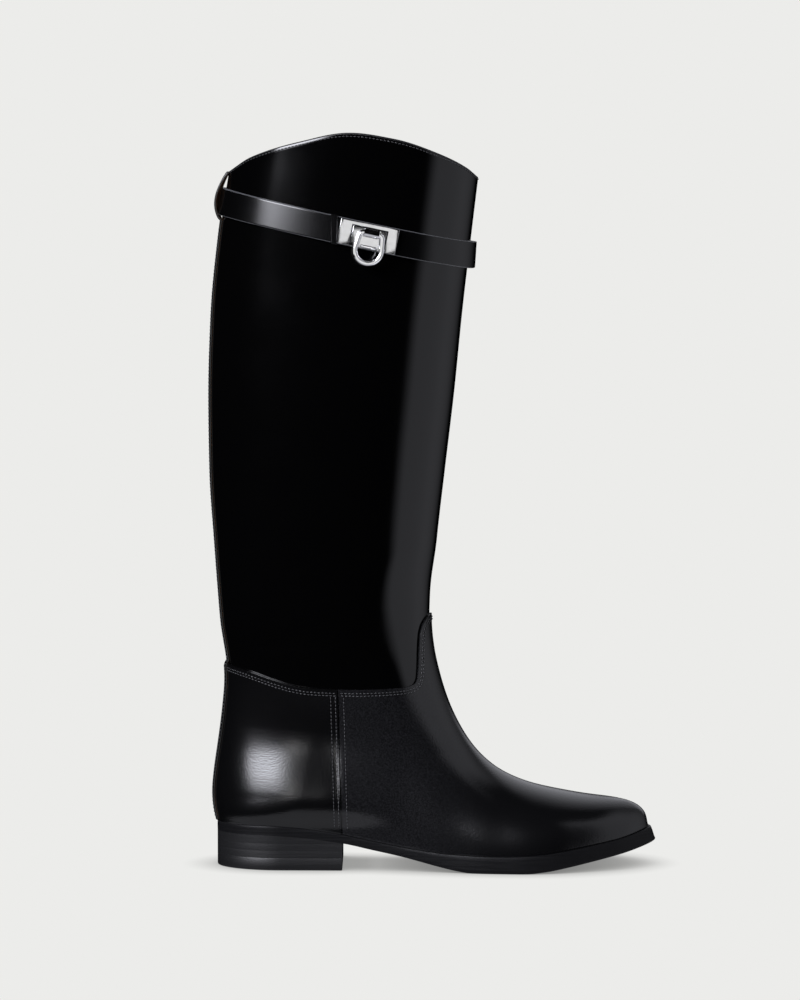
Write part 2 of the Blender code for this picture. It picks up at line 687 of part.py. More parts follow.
def ring_of_heel(x, outer, inner):
    """The back part of an outline, closed straight across at the heel's breast."""
    outer_y = -np.interp(x, outer[:, 0], outer[:, 1])
    inner_y = np.interp(x, inner[:, 0], inner[:, 1])
    outer_y[0] = 0
    outer_side = np.column_stack([x, -outer_y, x])
    inner_side = np.column_stack([x, inner_y, x])
    return np.vstack([outer_side, inner_side[:0:-1]])


def make_sole():
    """Outsole with arch, toe spring and a flat tread, then heel stack, top lift and insole."""
    def top_z(x):
        return feather_z(x) - GAP

    def chamfered(z, step):
        return lambda x: z(x) + step

    rings = [
        plan_ring(edge_top, top_z, SOLE_CHAMFER),
        plan_ring(edge_top, chamfered(top_z, -SOLE_CHAMFER)),
        plan_ring(edge_bottom, chamfered(sole_z, SOLE_CHAMFER)),
        plan_ring(edge_bottom, sole_z, SOLE_CHAMFER),
    ]
    finish("outsole", loft(rings), sole_leather)

    def seat(x):
        return sole_z(x) - GAP

    def level(z):
        return lambda x: np.full_like(x, z)

    rings = [
        plan_ring(edge_bottom, seat, last_x=HEEL_BREAST_X),
        plan_ring(edge_bottom, level(TOP_LIFT + GAP), last_x=HEEL_BREAST_X),
    ]
    finish("heel_stack", loft(rings), sole_leather)
    rings = [
        plan_ring(edge_bottom, level(TOP_LIFT), last_x=HEEL_BREAST_X),
        plan_ring(edge_bottom, level(SOLE_CHAMFER), last_x=HEEL_BREAST_X),
        plan_ring(edge_bottom, level(0.0), SOLE_CHAMFER, last_x=HEEL_BREAST_X),
    ]
    finish("top_lift", loft(rings), rubber)

    def inside(x):
        return np.full_like(x, -PANEL - GAP - WALL - GAP)

    rings = [
        plan_ring(inside, lambda x: feather_z(x) + INSOLE, INSOLE_DRAFT, columns=SIDE_COLUMNS),
        plan_ring(inside, feather_z, 2 * GAP, columns=SIDE_COLUMNS),
    ]
    finish("insole", loft(rings), lining)


for old in list(bpy.data.objects):
    bpy.data.objects.remove(old, do_unlink=True)
leather = material("black_leather", (0.012, 0.012, 0.013), 0.32)
sole_leather = material("black_sole_leather", (0.020, 0.020, 0.021), 0.55)
rubber = material("black_rubber", (0.018, 0.018, 0.018), 0.7)
lining = material("tan_lining", (0.36, 0.22, 0.12), 0.75)
steel = material("polished_steel", (0.82, 0.82, 0.83), 0.12, 1.0)

shaft_rows = np.linspace(0, SHAFT_SPLIT, SHAFT_ROWS + 1)
foot_rows = mix(1.0, SHAFT_SPLIT, np.linspace(1, 0, FOOT_ROWS + 1) ** TOE_DENSITY)
upper_grid, upper_normal = envelope(np.concatenate([shaft_rows, foot_rows[1:]]))
make_upper(upper_grid, upper_normal)
make_panels(foot_rows)
make_backstay()
make_belt()
make_clasp()
make_sole()
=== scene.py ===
# %% [markdown]
# # A tall riding boot, dressed on its frame
# The frame holds the boot's plain solids: upper, foot panels, belt, clasp, sole and heel. This lesson
# gives them their looks. Each leather piece is made again as a fine sheet that follows the same
# section tables as its solid, and then come stitches, metal, finishes, light and camera.

# %% Load the frame
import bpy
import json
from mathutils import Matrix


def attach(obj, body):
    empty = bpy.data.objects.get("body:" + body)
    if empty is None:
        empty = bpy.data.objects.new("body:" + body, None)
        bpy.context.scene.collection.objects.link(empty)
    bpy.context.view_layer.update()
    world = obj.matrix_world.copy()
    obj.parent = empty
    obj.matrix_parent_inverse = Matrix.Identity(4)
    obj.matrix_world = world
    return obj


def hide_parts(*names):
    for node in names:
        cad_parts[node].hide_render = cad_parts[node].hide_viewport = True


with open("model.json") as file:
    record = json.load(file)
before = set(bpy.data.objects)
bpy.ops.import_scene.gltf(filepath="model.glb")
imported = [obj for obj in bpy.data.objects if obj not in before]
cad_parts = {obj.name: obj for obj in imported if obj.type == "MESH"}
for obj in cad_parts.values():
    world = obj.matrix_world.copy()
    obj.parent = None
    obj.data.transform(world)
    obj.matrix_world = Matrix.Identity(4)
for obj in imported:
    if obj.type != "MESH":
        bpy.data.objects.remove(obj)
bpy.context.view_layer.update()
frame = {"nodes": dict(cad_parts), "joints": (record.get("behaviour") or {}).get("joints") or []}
print("frame nodes:", ", ".join(sorted(frame["nodes"])))

# %% [markdown]
# ## Sizes that the boot is drawn from
# A boot pattern starts from a few lines: the shin and toe, the back, the collar and the feather line
# where leather meets sole. One could model by eye on the solids, but a glossy boot shows every dent,
# so the sheets are worked out from the lines themselves. All sizes are millimetres.

# %% Lines and sections of the boot
import math

import bmesh
import bpy
import numpy as np
from mathutils import Matrix, Vector

MM = 0.001
GAP = 0.3             # clearance between neighbouring pieces
WALL = 1.8            # leather and lining of the upper
PANEL = 1.2           # leather of the foot panels
COUNTER_STEP = 0.4    # how far the counter stands above the vamp
FRONT = np.array([
    # x, z down the shin and along the top of the toe
    (126.4, 460.0), (117.9, 390.0), (112.4, 343.0), (107.4, 293.0), (101.6, 244.0),
    (96.6, 200.0), (94.3, 172.0), (93.6, 152.0), (95.0, 136.0), (98.4, 120.0),
    (104.2, 101.3), (113.3, 82.6), (122.2, 70.2), (136.2, 58.4), (154.8, 50.3),
    (173.4, 46.0), (192.0, 42.8), (207.5, 41.1), (216.0, 39.3),
])
NOSE = np.array([
    # x, z round the tip of the toe
    (216.0, 39.3), (222.6, 36.0), (226.8, 30.8), (228.0, 23.5),
])
BACK = np.array([
    # x, z down the back
    (-25.6, 460.0), (-36.5, 390.0), (-41.3, 340.0), (-42.8, 290.0), (-42.3, 245.0),
    (-39.5, 200.0), (-36.6, 160.0), (-34.6, 136.0), (-33.0, 116.0), (-34.6, 96.0),
    (-37.2, 76.0), (-39.8, 58.0), (-40.9, 45.2), (-40.2, 36.0), (-38.4, 27.5),
])
COLLAR = np.array([
    # x, z of the top line
    (-30.5, 428.4), (-16.5, 437.1), (12.6, 446.1), (43.0, 451.6), (70.7, 447.8),
    (99.7, 438.2), (115.0, 430.5), (122.2, 424.7),
])
FEATHER = np.array([
    # x, z where the leather meets the sole
    (-38.4, 27.5), (-12.0, 27.6), (10.0, 26.4), (37.0, 22.7), (60.0, 17.9), (86.0, 13.4),
    (110.0, 11.2), (137.0, 10.6), (160.0, 11.6), (173.0, 13.1), (193.0, 16.2), (214.0, 20.0),
    (228.0, 23.5),
])
FOOT = np.array([
    # x, outer and inner half width, how far and how fully the section rounds over
    (-40.0, 30.0, 30.0, 66.0, 1.8), (0.0, 30.5, 30.5, 66.0, 1.8), (37.0, 31.5, 30.0, 66.0, 1.8),
    (70.0, 33.5, 27.5, 66.0, 1.8), (100.0, 39.5, 30.5, 64.0, 1.7), (130.0, 45.0, 37.0, 52.0, 1.7),
    (150.0, 46.0, 40.5, 42.0, 1.8), (165.0, 44.5, 41.5, 36.0, 1.9), (185.0, 38.0, 39.5, 30.0, 2.1),
    (205.0, 29.0, 32.0, 25.0, 2.2), (228.0, 15.0, 18.0, 20.0, 2.2),
])
SHAFT = np.array([
    # z, half width, length over which each end rounds
    (20.0, 36.0, 64.0), (110.0, 36.5, 64.0), (140.0, 37.5, 64.0), (180.0, 39.5, 66.5),
    (230.0, 42.5, 71.0), (280.0, 44.5, 74.0), (330.0, 45.0, 76.5), (380.0, 44.5, 77.0),
    (460.0, 44.0, 76.0),
])
SEAM = np.array([
    # x, z of the foot panels' top edge
    (-60.0, 127.0), (-33.5, 125.0), (-21.7, 122.5), (-4.6, 117.5), (7.6, 114.2), (19.2, 112.5),
    (48.0, 111.6), (65.5, 112.0), (77.0, 112.6), (82.6, 114.0), (85.0, 117.5), (85.8, 126.0),
    (86.2, 136.0), (87.0, 145.0), (89.0, 151.0), (93.0, 155.5), (100.0, 157.5), (140.0, 158.0),
])
SIDE_SEAM_TOP_X = 35.8    # joint of counter and vamp
SIDE_SEAM_BOTTOM_X = 38.3
print("lines:", len(FRONT), "points down the front,", len(BACK), "down the back")

# %% [markdown]
# ## Curves through the tables
# A curve through few points can wobble. This one keeps its slope between the neighbours' slopes, as a
# bent batten would, so the leather has no bulges that the table doesn't ask for. Lines that the light
# will glide over are also averaged a little along their length.

# %% Smooth curves and distances
def smooth(table, column=1):
    """A smooth curve through a table's rows."""
    x = table[:, 0]
    y = table[:, column]
    step = np.diff(x)
    slope = np.diff(y) / step
    bend = np.zeros(len(x))
    same = slope[:-1] * slope[1:] > 0
    before = 2 * step[1:] + step[:-1]
    after = step[1:] + 2 * step[:-1]
    with np.errstate(divide="ignore", invalid="ignore"):
        middle = (before + after) / (before / slope[:-1] + after / slope[1:])
    bend[1:-1] = np.where(same, middle, 0.0)
    bend[0] = slope[0]
    bend[-1] = slope[-1]

    def at(value):
        value = np.clip(value, x[0], x[-1])
        i = np.clip(np.searchsorted(x, value) - 1, 0, len(x) - 2)
        t = (value - x[i]) / step[i]
        start = (1 + 2 * t) * (1 - t) ** 2 * y[i] + t * (1 - t) ** 2 * step[i] * bend[i]
        end = t ** 2 * (3 - 2 * t) * y[i + 1] + t ** 2 * (t - 1) * step[i] * bend[i + 1]
        return start + end

    return at


def averaged(line, passes):
    """A line whose points move towards their neighbours; its ends stay."""
    line = line.copy()
    for _ in range(passes):
        line[1:-1] = (line[:-2] + 2 * line[1:-1] + line[2:]) / 4
    return line


def run_along(line):
    """Length along a line of the side view, at each of its points."""
    return np.concatenate([[0], np.cumsum(np.hypot(*np.diff(line, axis=0).T))])


def profile(points, samples=400, passes=24):
    """A profile as many short steps of equal length."""
    length = run_along(points)
    at = np.linspace(0, length[-1], samples)
    x = smooth(np.column_stack([length, points[:, 0]]))(at)
    z = smooth(np.column_stack([length, points[:, 1]]))(at)
    return averaged(np.column_stack([x, z]), passes)


def distance(line, x, z):
    """Distance of points from a line in the side view."""
    point = np.stack([x, z], axis=-1)[..., None, :]
    start = line[:-1]
    run = line[1:] - start
    t = np.clip(((point - start) * run).sum(-1) / (run ** 2).sum(-1), 0, 1)
    return np.sqrt((((start + t[..., None] * run) - point) ** 2).sum(-1)).min(-1)


def ease(low, high, value):
    """0 below low, 1 above high, with a soft change between."""
    t = np.clip((value - low) / (high - low), 0, 1)
    return t * t * (3 - 2 * t)


def mix(a, b, share):
    """From a to b by a share."""
    return a + (b - a) * share


def fine(table, column=1, samples=300, passes=20):
    """A table's curve, averaged so that gloss finds no breaks in it."""
    x = np.linspace(table[0, 0], table[-1, 0], samples)
    line = averaged(np.column_stack([x, smooth(table, column)(x)]), passes)
    return lambda value: np.interp(value, line[:, 0], line[:, 1])


# %% [markdown]
# The tables now become the lines and curves that every later step asks for places and widths. The tip
# of the toe is short and tight, so it gets fewer points and isn't averaged.

# %% Lines ready for use
NOSE_SAMPLES = 60
front_line = profile(FRONT)
nose_line = profile(NOSE, NOSE_SAMPLES, 0)
back_line = profile(BACK)
front_and_nose = np.vstack([front_line, nose_line[1:]])
front_run = run_along(front_and_nose)
collar_z = smooth(COLLAR)
feather_z = smooth(FEATHER)
seam_z = smooth(SEAM)
shaft_half = fine(SHAFT, 1)
shaft_round = fine(SHAFT, 2)
foot_outer, foot_inner, foot_round, foot_fullness = (fine(FOOT, column) for column in range(1, 5))
print("front line: %.0f mm long" % front_run[-1])


def back_x(z):
    """x of the back line at a height."""
    return np.interp(z, back_line[::-1, 1], back_line[::-1, 0])


# %% [markdown]
# ## The form of the last
# Seen from the side, each point of the boot lies some way in from the front, the toe and the back.
# Its half width grows from nothing at those edges to the full width of the section, as on the wooden
# last that the leather is pulled over. The heel is also moulded out over the foot's heel bone and
# drawn in at the ankle. A table over the height gives that form, and it fades towards the instep.

# %% Moulded heel
HEEL_FORM = np.array([
    # z, how far the moulded heel stands out from the plain form, and the ankle draws in
    (20.0, 0.0), (27.5, 0.0), (32.0, 2.2), (36.0, 3.4), (39.5, 3.8), (42.0, 3.8), (45.0, 3.4),
    (50.0, 2.4), (56.0, 1.1), (62.0, -0.2), (68.0, -1.4), (74.0, -2.5), (80.0, -3.3), (86.0, -3.8),
    (92.0, -4.0), (100.0, -3.8), (112.0, -3.0), (125.0, -2.2), (145.0, -1.3), (170.0, -0.5), (200.0, 0.0),
    (460.0, 0.0),
])
HEEL_FORM_X = 25.0        # the form is full up to here and ends at the next value
HEEL_FORM_END_X = 80.0
HEEL_SAMPLES = 900
HEEL_PASSES = 40
heel_form = fine(HEEL_FORM, 1, HEEL_SAMPLES, HEEL_PASSES)
print("heel stands out by %.1f mm" % max(HEEL_FORM[:, 1]))

# %% [markdown]
# One function gives the half width of foot and shaft together. A plain product of the roundings at the
# top and at the tip leaves a corner on the toe, so a single rounding over both is mixed in.

# %% Half width of the boot
FOOT_TOP = 45.0           # below this the foot's sections rule
SHAFT_FOOT = 120.0        # above this the shaft's levels rule
SHAFT_FULLNESS = 2.0
SWELL = 0.07              # share by which the foot swells above the feather line
SWELL_HEIGHT = 60.0
HEEL_ROUND = 40.0         # length over which the heel rounds: at the sole, and higher up
HEEL_ROUND_UP = 56.0
HEEL_ROUND_FROM = 28.0    # the change lies between these heights
HEEL_ROUND_TO = 46.0
NOSE_ROUND = 26.0
NOSE_FULLNESS = 3.0
TOE_ROUNDED = 0.6         # share of the single rounding


def arch(q, fullness):
    """Rounds a section over: 0 at its edge, 1 where it reaches full width."""
    return np.sqrt(1 - (1 - np.clip(q, 0, 1)) ** fullness)


def half_width(x, z, outer_side):
    """Half the boot's width at a place of the side view."""
    in_shaft = ease(FOOT_TOP, SHAFT_FOOT, z)
    plan = foot_outer(x) if outer_side else foot_inner(x)
    rise = np.clip((z - feather_z(x)) / SWELL_HEIGHT, 0, 1)
    foot = plan * (1 + SWELL * np.sin(math.pi * rise))
    broad = mix(foot, shaft_half(z), in_shaft)
    broad = broad + heel_form(z) * (1 - ease(HEEL_FORM_X, HEEL_FORM_END_X, x))
    reach = mix(foot_round(x), shaft_round(z), in_shaft)
    fullness = mix(foot_fullness(x), SHAFT_FULLNESS, in_shaft)
    heel = mix(HEEL_ROUND, HEEL_ROUND_UP, ease(HEEL_ROUND_FROM, HEEL_ROUND_TO, z))
    heel = mix(heel, shaft_round(z), in_shaft)
    from_front = distance(front_line, x, z)
    from_nose = distance(nose_line, x, z)
    cornered = arch(from_front / reach, fullness) * arch(from_nose / NOSE_ROUND, NOSE_FULLNESS)
    rounded = arch(np.minimum(from_front, from_nose) / reach, fullness)
    back = arch(distance(back_line, x, z) / heel, SHAFT_FULLNESS)
    return broad * mix(cornered, rounded, TOE_ROUNDED) * back


def on_boot(x, z, outer_side):
    """Points of the outer form, from their place in the side view."""
    y = half_width(x, z, outer_side)
    return np.stack([x, -y if outer_side else y, z], axis=-1)


def normals(grid, closed=False):
    """Outward normals of a table of points whose rows run down and whose columns run round."""
    down = np.gradient(grid, axis=0)
    if closed:
        open_grid = grid[:, :-1]
        around = np.roll(open_grid, -1, axis=1) - np.roll(open_grid, 1, axis=1)
        around = np.concatenate([around, around[:, :1]], axis=1)
    else:
        around = np.gradient(grid, axis=1)
    normal = np.cross(down, around)
    return normal / np.linalg.norm(normal, axis=2, keepdims=True)


print("calf: %.0f mm wide" % (2 * shaft_half(SHAFT[:, 0]).max()))

# %% [markdown]
# ## From tables of points to pieces
# Blender's grid is a flat net of squares. Carrying its points to a table of places turns it into a
# draped sheet, which is how leather goes over a last, and keeps neat squares for the gloss. A sheet
# that closes on itself has its two edges merged. The helper that files a finished piece also hangs it
# on the body it moves with and hides the solid it stands for.

# %% Sheets and pieces
SAME_POINT = 1e-6    # metres


def draped(points, material_rows=None):
    """A grid carried to points[row, column], in millimetres."""
    rows, columns = points.shape[:2]
    bm = bmesh.new()
    bmesh.ops.create_grid(bm, x_segments=columns - 1, y_segments=rows - 1, size=1.0)
    for v in bm.verts:
        i = round((v.co.x + 1) / 2 * (columns - 1))
        j = round((v.co.y + 1) / 2 * (rows - 1))
        v.co = points[j, i] * MM
    if material_rows is not None:
        for face, row in zip(bm.faces, np.repeat(np.arange(rows - 1), columns - 1)):
            face.material_index = int(material_rows[row])
    return bm


def filled(rings):
    """A band of rings whose open ends are filled."""
    bm = draped(np.array(rings))
    bmesh.ops.remove_doubles(bm, verts=bm.verts, dist=SAME_POINT)
    bmesh.ops.holes_fill(bm, edges=[edge for edge in bm.edges if edge.is_boundary])
    return bm


def piece(name, bm, looks, nodes=(), body="boot", outward=None):
    """Merges, turns the faces outwards, shades and files a piece."""
    bmesh.ops.remove_doubles(bm, verts=bm.verts, dist=SAME_POINT)
    if outward is None:
        bmesh.ops.recalc_face_normals(bm, faces=bm.faces)
    else:
        bm.normal_update()
        middle = bm.faces[:][len(bm.faces) // 2]
        if middle.normal.dot(outward(middle.calc_center_median())) < 0:
            bmesh.ops.reverse_faces(bm, faces=bm.faces)
    mesh = bpy.data.meshes.new(name)
    bm.to_mesh(mesh)
    bm.free()
    for look in looks:
        mesh.materials.append(look)
    mesh.shade_smooth()
    made = bpy.data.objects.new(name, mesh)
    bpy.context.scene.collection.objects.link(made)
    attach(made, body)
    if nodes:
        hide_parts(*nodes)
    print(name, len(mesh.polygons), "faces")
    return made


def crisp(made, degrees):
    """Keeps edges that turn by more than an angle sharp in the shading."""
    made.data.set_sharp_from_angle(angle=math.radians(degrees))
    return made


# %% [markdown]
# ## Leather and the other finishes
# Every finish is a Principled shader with a few textures. The textures read Object coordinates, so a
# pattern has the same size on each piece. These helpers add one node each and hand back its output,
# which keeps the recipes below short.

# %% Helpers for node materials
def new_look(name, colour, roughness, **sockets):
    """A Principled material; sockets give further constant values."""
    look = bpy.data.materials.new(name)
    look.use_nodes = True
    shader = look.node_tree.nodes["Principled BSDF"]
    shader.inputs["Base Color"].default_value = (*colour, 1.0)
    shader.inputs["Roughness"].default_value = roughness
    for socket, value in sockets.items():
        shader.inputs[socket.replace("_", " ")].default_value = value
    return look, look.node_tree, shader


def texture(tree, kind, scale, stretch=(1.0, 1.0, 1.0), **values):
    """A texture node on Object coordinates; scale is in repeats to the metre."""
    place = tree.nodes.new("ShaderNodeTexCoord")
    mapping = tree.nodes.new("ShaderNodeMapping")
    mapping.inputs["Scale"].default_value = stretch
    made = tree.nodes.new(kind)
    made.inputs["Scale"].default_value = scale
    for socket, value in values.items():
        made.inputs[socket].default_value = value
    tree.links.new(place.outputs["Object"], mapping.inputs["Vector"])
    tree.links.new(mapping.outputs["Vector"], made.inputs["Vector"])
    return made


def ranged(tree, source, low, high, to_low, to_high, kind="SMOOTHSTEP"):
    """Maps a value from one range to another."""
    made = tree.nodes.new("ShaderNodeMapRange")
    made.interpolation_type = kind
    tree.links.new(source, made.inputs["Value"])
    for socket, value in (("From Min", low), ("From Max", high), ("To Min", to_low), ("To Max", to_high)):
        made.inputs[socket].default_value = value
    return made.outputs["Result"]


def tinted(tree, factor, first, second):
    """Mixes two colours."""
    made = tree.nodes.new("ShaderNodeMix")
    made.data_type = "RGBA"
    made.inputs["A"].default_value = (*first, 1.0)
    made.inputs["B"].default_value = (*second, 1.0)
    tree.links.new(factor, made.inputs["Factor"])
    return made.outputs["Result"]


def bump(tree, height, depth_mm, before=None):
    """A bump of a real depth, on top of an earlier one."""
    made = tree.nodes.new("ShaderNodeBump")
    made.inputs["Distance"].default_value = depth_mm * MM
    tree.links.new(height, made.inputs["Height"])
    if before is not None:
        tree.links.new(before, made.inputs["Normal"])
    return made.outputs["Normal"]


# %% [markdown]
# Black box calf is dyed through, pressed smooth and polished. Its look is a dark base, a tight gloss
# and a fine pebble grain that only shows where a lamp is mirrored. The grain could be modelled, but it
# is less than a tenth of a millimetre deep, so a bump does it. A slow wave under the grain bends long
# reflections a little, as on real hide. On the vamp, between the side seam and the ball, fine lighter
# specks in the colour are a painted sheen, for the haze of light that the grain scatters there.

# %% Black calf
WAVES = 45.0             # repeats to the metre
PORES = 1700.0
CLOUDS = 30.0
SHEEN_SPECKS = 1150.0
PORE_SHARE = 0.5         # depth of the pores, as a share of the grain's
UNEVEN_POLISH = 0.012
COOL_TINT = 1.1


def black(dye):
    """A cool black; dye is how much light the colour itself gives back."""
    return (dye, dye, dye * COOL_TINT)


def calf(name, dye, roughness, grain_mm, cell_mm, wave_mm):
    """Polished black calf."""
    look, tree, shader = new_look(name, black(dye), roughness)
    wave = texture(tree, "ShaderNodeTexNoise", WAVES, Detail=2.0)
    cells = texture(tree, "ShaderNodeTexVoronoi", 1.0 / (cell_mm * MM))
    pores = texture(tree, "ShaderNodeTexNoise", PORES, Detail=3.0)
    cloud = texture(tree, "ShaderNodeTexNoise", CLOUDS, Detail=4.0)
    rolling = bump(tree, wave.outputs[0], wave_mm)
    pebbled = bump(tree, cells.outputs["Distance"], -grain_mm, rolling)
    grained = bump(tree, pores.outputs[0], grain_mm * PORE_SHARE, pebbled)
    tree.links.new(grained, shader.inputs["Normal"])
    smoother = roughness - UNEVEN_POLISH
    rougher = roughness + UNEVEN_POLISH
    rough = ranged(tree, cloud.outputs[0], 0.3, 0.7, smoother, rougher)
    tree.links.new(rough, shader.inputs["Roughness"])
    return look


def painted_sheen_specks(look, dye, sheen_dye, from_mm, to_mm):
    """Painted sheen: fine lighter specks behind the toe, for the haze of light that the grain scatters.
    """
    tree = look.node_tree
    place = tree.nodes.new("ShaderNodeTexCoord")
    parts = tree.nodes.new("ShaderNodeSeparateXYZ")
    tree.links.new(place.outputs["Object"], parts.inputs["Vector"])
    share = ranged(tree, parts.outputs["X"], from_mm * MM, to_mm * MM, 1.0, 0.0)
    specks = texture(tree, "ShaderNodeTexNoise", SHEEN_SPECKS, Detail=2.0)
    light = ranged(tree, specks.outputs[0], 0.35, 0.7, 0.2, 1.0)
    both = tree.nodes.new("ShaderNodeMath")
    both.operation = "MULTIPLY"
    tree.links.new(share, both.inputs[0])
    tree.links.new(light, both.inputs[1])
    # the specks lighten the base colour itself: a painted sheen
    tint = tinted(tree, both.outputs[0], black(dye), black(sheen_dye))
    tree.links.new(tint, tree.nodes["Principled BSDF"].inputs["Base Color"])


# name, dye, roughness, depth and size of the grain, depth of the waves
shaft_calf = calf("shaft_calf", 0.0008, 0.10, 0.003, 1.2, 0.004)
heel_calf = calf("heel_calf", 0.002, 0.19, 0.04, 1.0, 0.008)
VAMP_DYE = 0.003
vamp_calf = calf("vamp_calf", VAMP_DYE, 0.19, 0.035, 1.1, 0.01)
# painted sheen: lighter specks on the vamp's grain, for the haze of light it scatters
painted_sheen_specks(vamp_calf, VAMP_DYE, 0.011, 75.0, 135.0)
belt_calf = calf("belt_calf", 0.0012, 0.19, 0.005, 1.0, 0.004)
print("leathers:", shaft_calf.name, heel_calf.name, vamp_calf.name, belt_calf.name)

# %% [markdown]
# ## Lining, raw leather, thread, sole, heel rubber and metal
# The lining is natural tan calf, the loop shows its raw brown flesh side, and thread is waxed black.
# Sole and heel edges are trimmed on a wheel and stained, which leaves fine lines along them: a noise
# that is squeezed in height gives those lines. The collar's cut edge is painted, in a plain dark colour.
# The belt's edges are a plain light grey, a painted highlight for the light that their rounded corners
# catch. The clasp is nickel plated and polished.

# %% The other finishes
def tan_leather(name, colour, fuzz):
    """Undyed leather, a little cloudy, with a fibrous surface."""
    look, tree, shader = new_look(name, colour, 0.7)
    fibre = texture(tree, "ShaderNodeTexNoise", 900.0, Detail=4.0)
    cloud = texture(tree, "ShaderNodeTexNoise", 40.0, Detail=3.0)
    clouded = ranged(tree, cloud.outputs[0], 0.3, 0.7, 0.0, 1.0)
    dark = [value * 0.75 for value in colour]
    light = [value * 1.2 for value in colour]
    tree.links.new(tinted(tree, clouded, dark, light), shader.inputs["Base Color"])
    tree.links.new(bump(tree, fibre.outputs[0], fuzz), shader.inputs["Normal"])
    return look


def trimmed_edge(name, colour, roughness, shine=0.3, lined=1.0):
    """Stained edge with the fine lines that trimming leaves; lined is how strongly they show."""
    look, tree, shader = new_look(name, colour, roughness, Specular_IOR_Level=shine)
    lines = texture(tree, "ShaderNodeTexNoise", 60.0, (0.35, 0.35, 22.0), Detail=5.0, Roughness=0.65)
    specks = texture(tree, "ShaderNodeTexNoise", 700.0, Detail=3.0)
    grooves = bump(tree, lines.outputs[0], 0.035 * lined)
    tree.links.new(bump(tree, specks.outputs[0], 0.05, grooves), shader.inputs["Normal"])
    smoother = roughness - 0.1 * lined
    rougher = roughness + 0.12 * lined
    rough = ranged(tree, lines.outputs[0], 0.35, 0.65, smoother, rougher)
    tree.links.new(rough, shader.inputs["Roughness"])
    return look


def polished_metal(name):
    """Bright plating with a faint haze."""
    look, tree, shader = new_look(name, (0.83, 0.83, 0.84), 0.10, Metallic=1.0)
    haze = texture(tree, "ShaderNodeTexNoise", 260.0, Detail=3.0)
    rough = ranged(tree, haze.outputs[0], 0.35, 0.65, 0.07, 0.14)
    tree.links.new(rough, shader.inputs["Roughness"])
    return look


def waxed_thread(name):
    """Dark thread; the bump stands for its twist."""
    look, tree, shader = new_look(name, (0.032, 0.032, 0.034), 0.42)
    twist = texture(tree, "ShaderNodeTexNoise", 2500.0, Detail=2.0)
    tree.links.new(bump(tree, twist.outputs[0], 0.08), shader.inputs["Normal"])
    return look


lining = tan_leather("tan_lining", (0.36, 0.22, 0.12), 0.03)
flesh_side = tan_leather("raw_flesh_side", (0.20, 0.10, 0.045), 0.12)
sole_edge = trimmed_edge("stained_sole_edge", (0.0045, 0.0045, 0.005), 0.42, 0.13)
heel_edge = trimmed_edge("stained_heel_edge", (0.008, 0.008, 0.0085), 0.42, lined=0.4)
heel_rubber = trimmed_edge("heel_rubber", (0.0066, 0.0066, 0.007), 0.42, lined=0.4)
# painted highlight: the belt's edges are light grey for the light that their rounded corners catch
belt_edge_highlight = new_look("belt_edge_painted_highlight", (0.08, 0.082, 0.088), 0.35)[0]
painted_rim = new_look("painted_collar_edge", (0.004, 0.004, 0.0045), 0.5)[0]
metal = polished_metal("polished_nickel")
thread = waxed_thread("waxed_thread")
print("finishes:", len(bpy.data.materials))

# %% [markdown]
# ## The upper
# Shaft and foot are one wall of leather with a lining. Its rows run from the collar down to the sole,
# and each row goes once round the leg. The sheet starts inside at the sole, climbs the lining, rolls
# over the collar's rim and comes down the outside, so that one closed net makes the wall.

# %% Rows round the leg
SHAFT_SPLIT = 0.46      # the shaft ends here, on the way from the collar (0) to the sole (1)
THROAT_BACK = 140.0     # heights at which the rows of the foot begin
THROAT_FRONT = 165.0
COLLAR_FADE = 2.6       # how soon the rows below the collar lose its curve
RIM_EASE = 1.5          # how the rows take on the curve of collar and feather line


def along_front(run):
    """A place on the front line, from its length."""
    x = np.interp(run, front_run, front_and_nose[:, 0])
    z = np.interp(run, front_run, front_and_nose[:, 1])
    return x, z


def run_at(z):
    """Length along the front line at a height."""
    return np.interp(z, front_and_nose[::-1, 1], front_run[::-1])


def row_line(t, columns):
    """One row in the side view, from back to front: t is 0 at the collar, 1 at the sole."""
    throat_run = run_at(THROAT_FRONT)
    in_shaft = min(1.0, t / SHAFT_SPLIT)
    in_foot = max(0.0, (t - SHAFT_SPLIT) / (1 - SHAFT_SPLIT))
    if in_foot:
        zb = mix(THROAT_BACK, FEATHER[0, 1], in_foot)
        run = mix(throat_run, front_run[-1], in_foot)
    else:
        zb = mix(COLLAR[0, 1], THROAT_BACK, in_shaft)
        run = mix(run_at(COLLAR[-1, 1]), throat_run, in_shaft)
    xb = back_x(zb)
    xf, zf = along_front(run)
    s = (1 - np.cos(np.linspace(0, math.pi, columns + 1))) / 2
    x = mix(xb, xf, s)
    collar_rise = collar_z(mix(COLLAR[0, 0], COLLAR[-1, 0], s)) - mix(COLLAR[0, 1], COLLAR[-1, 1], s)
    feather_x = mix(FEATHER[0, 0], FEATHER[-1, 0], s)
    feather_sag = feather_z(feather_x) - mix(FEATHER[0, 1], FEATHER[-1, 1], s)
    near_collar = max(0.0, 1 - COLLAR_FADE * in_shaft) ** RIM_EASE
    return x, mix(zb, zf, s) + near_collar * collar_rise + in_foot ** RIM_EASE * feather_sag


def leg_rows(rows, columns):
    """The outer form as a table of rings, each closed on its first point."""
    table = []
    for t in rows:
        x, z = row_line(t, columns)
        outer = on_boot(x, z, True)
        inner = on_boot(x, z, False)
        outer[[0, -1], 1] = 0
        inner[[0, -1], 1] = 0
        table.append(np.vstack([outer, inner[-2::-1]]))
    return np.array(table)


print("rows split at", SHAFT_SPLIT, "of the way down")

# %% [markdown]
# Under the foot panels the wall lies deeper by their thickness. Above their edge it comes out again to
# the plain form: slowly at the front, where the leather is soft, and sooner at the stiff back.

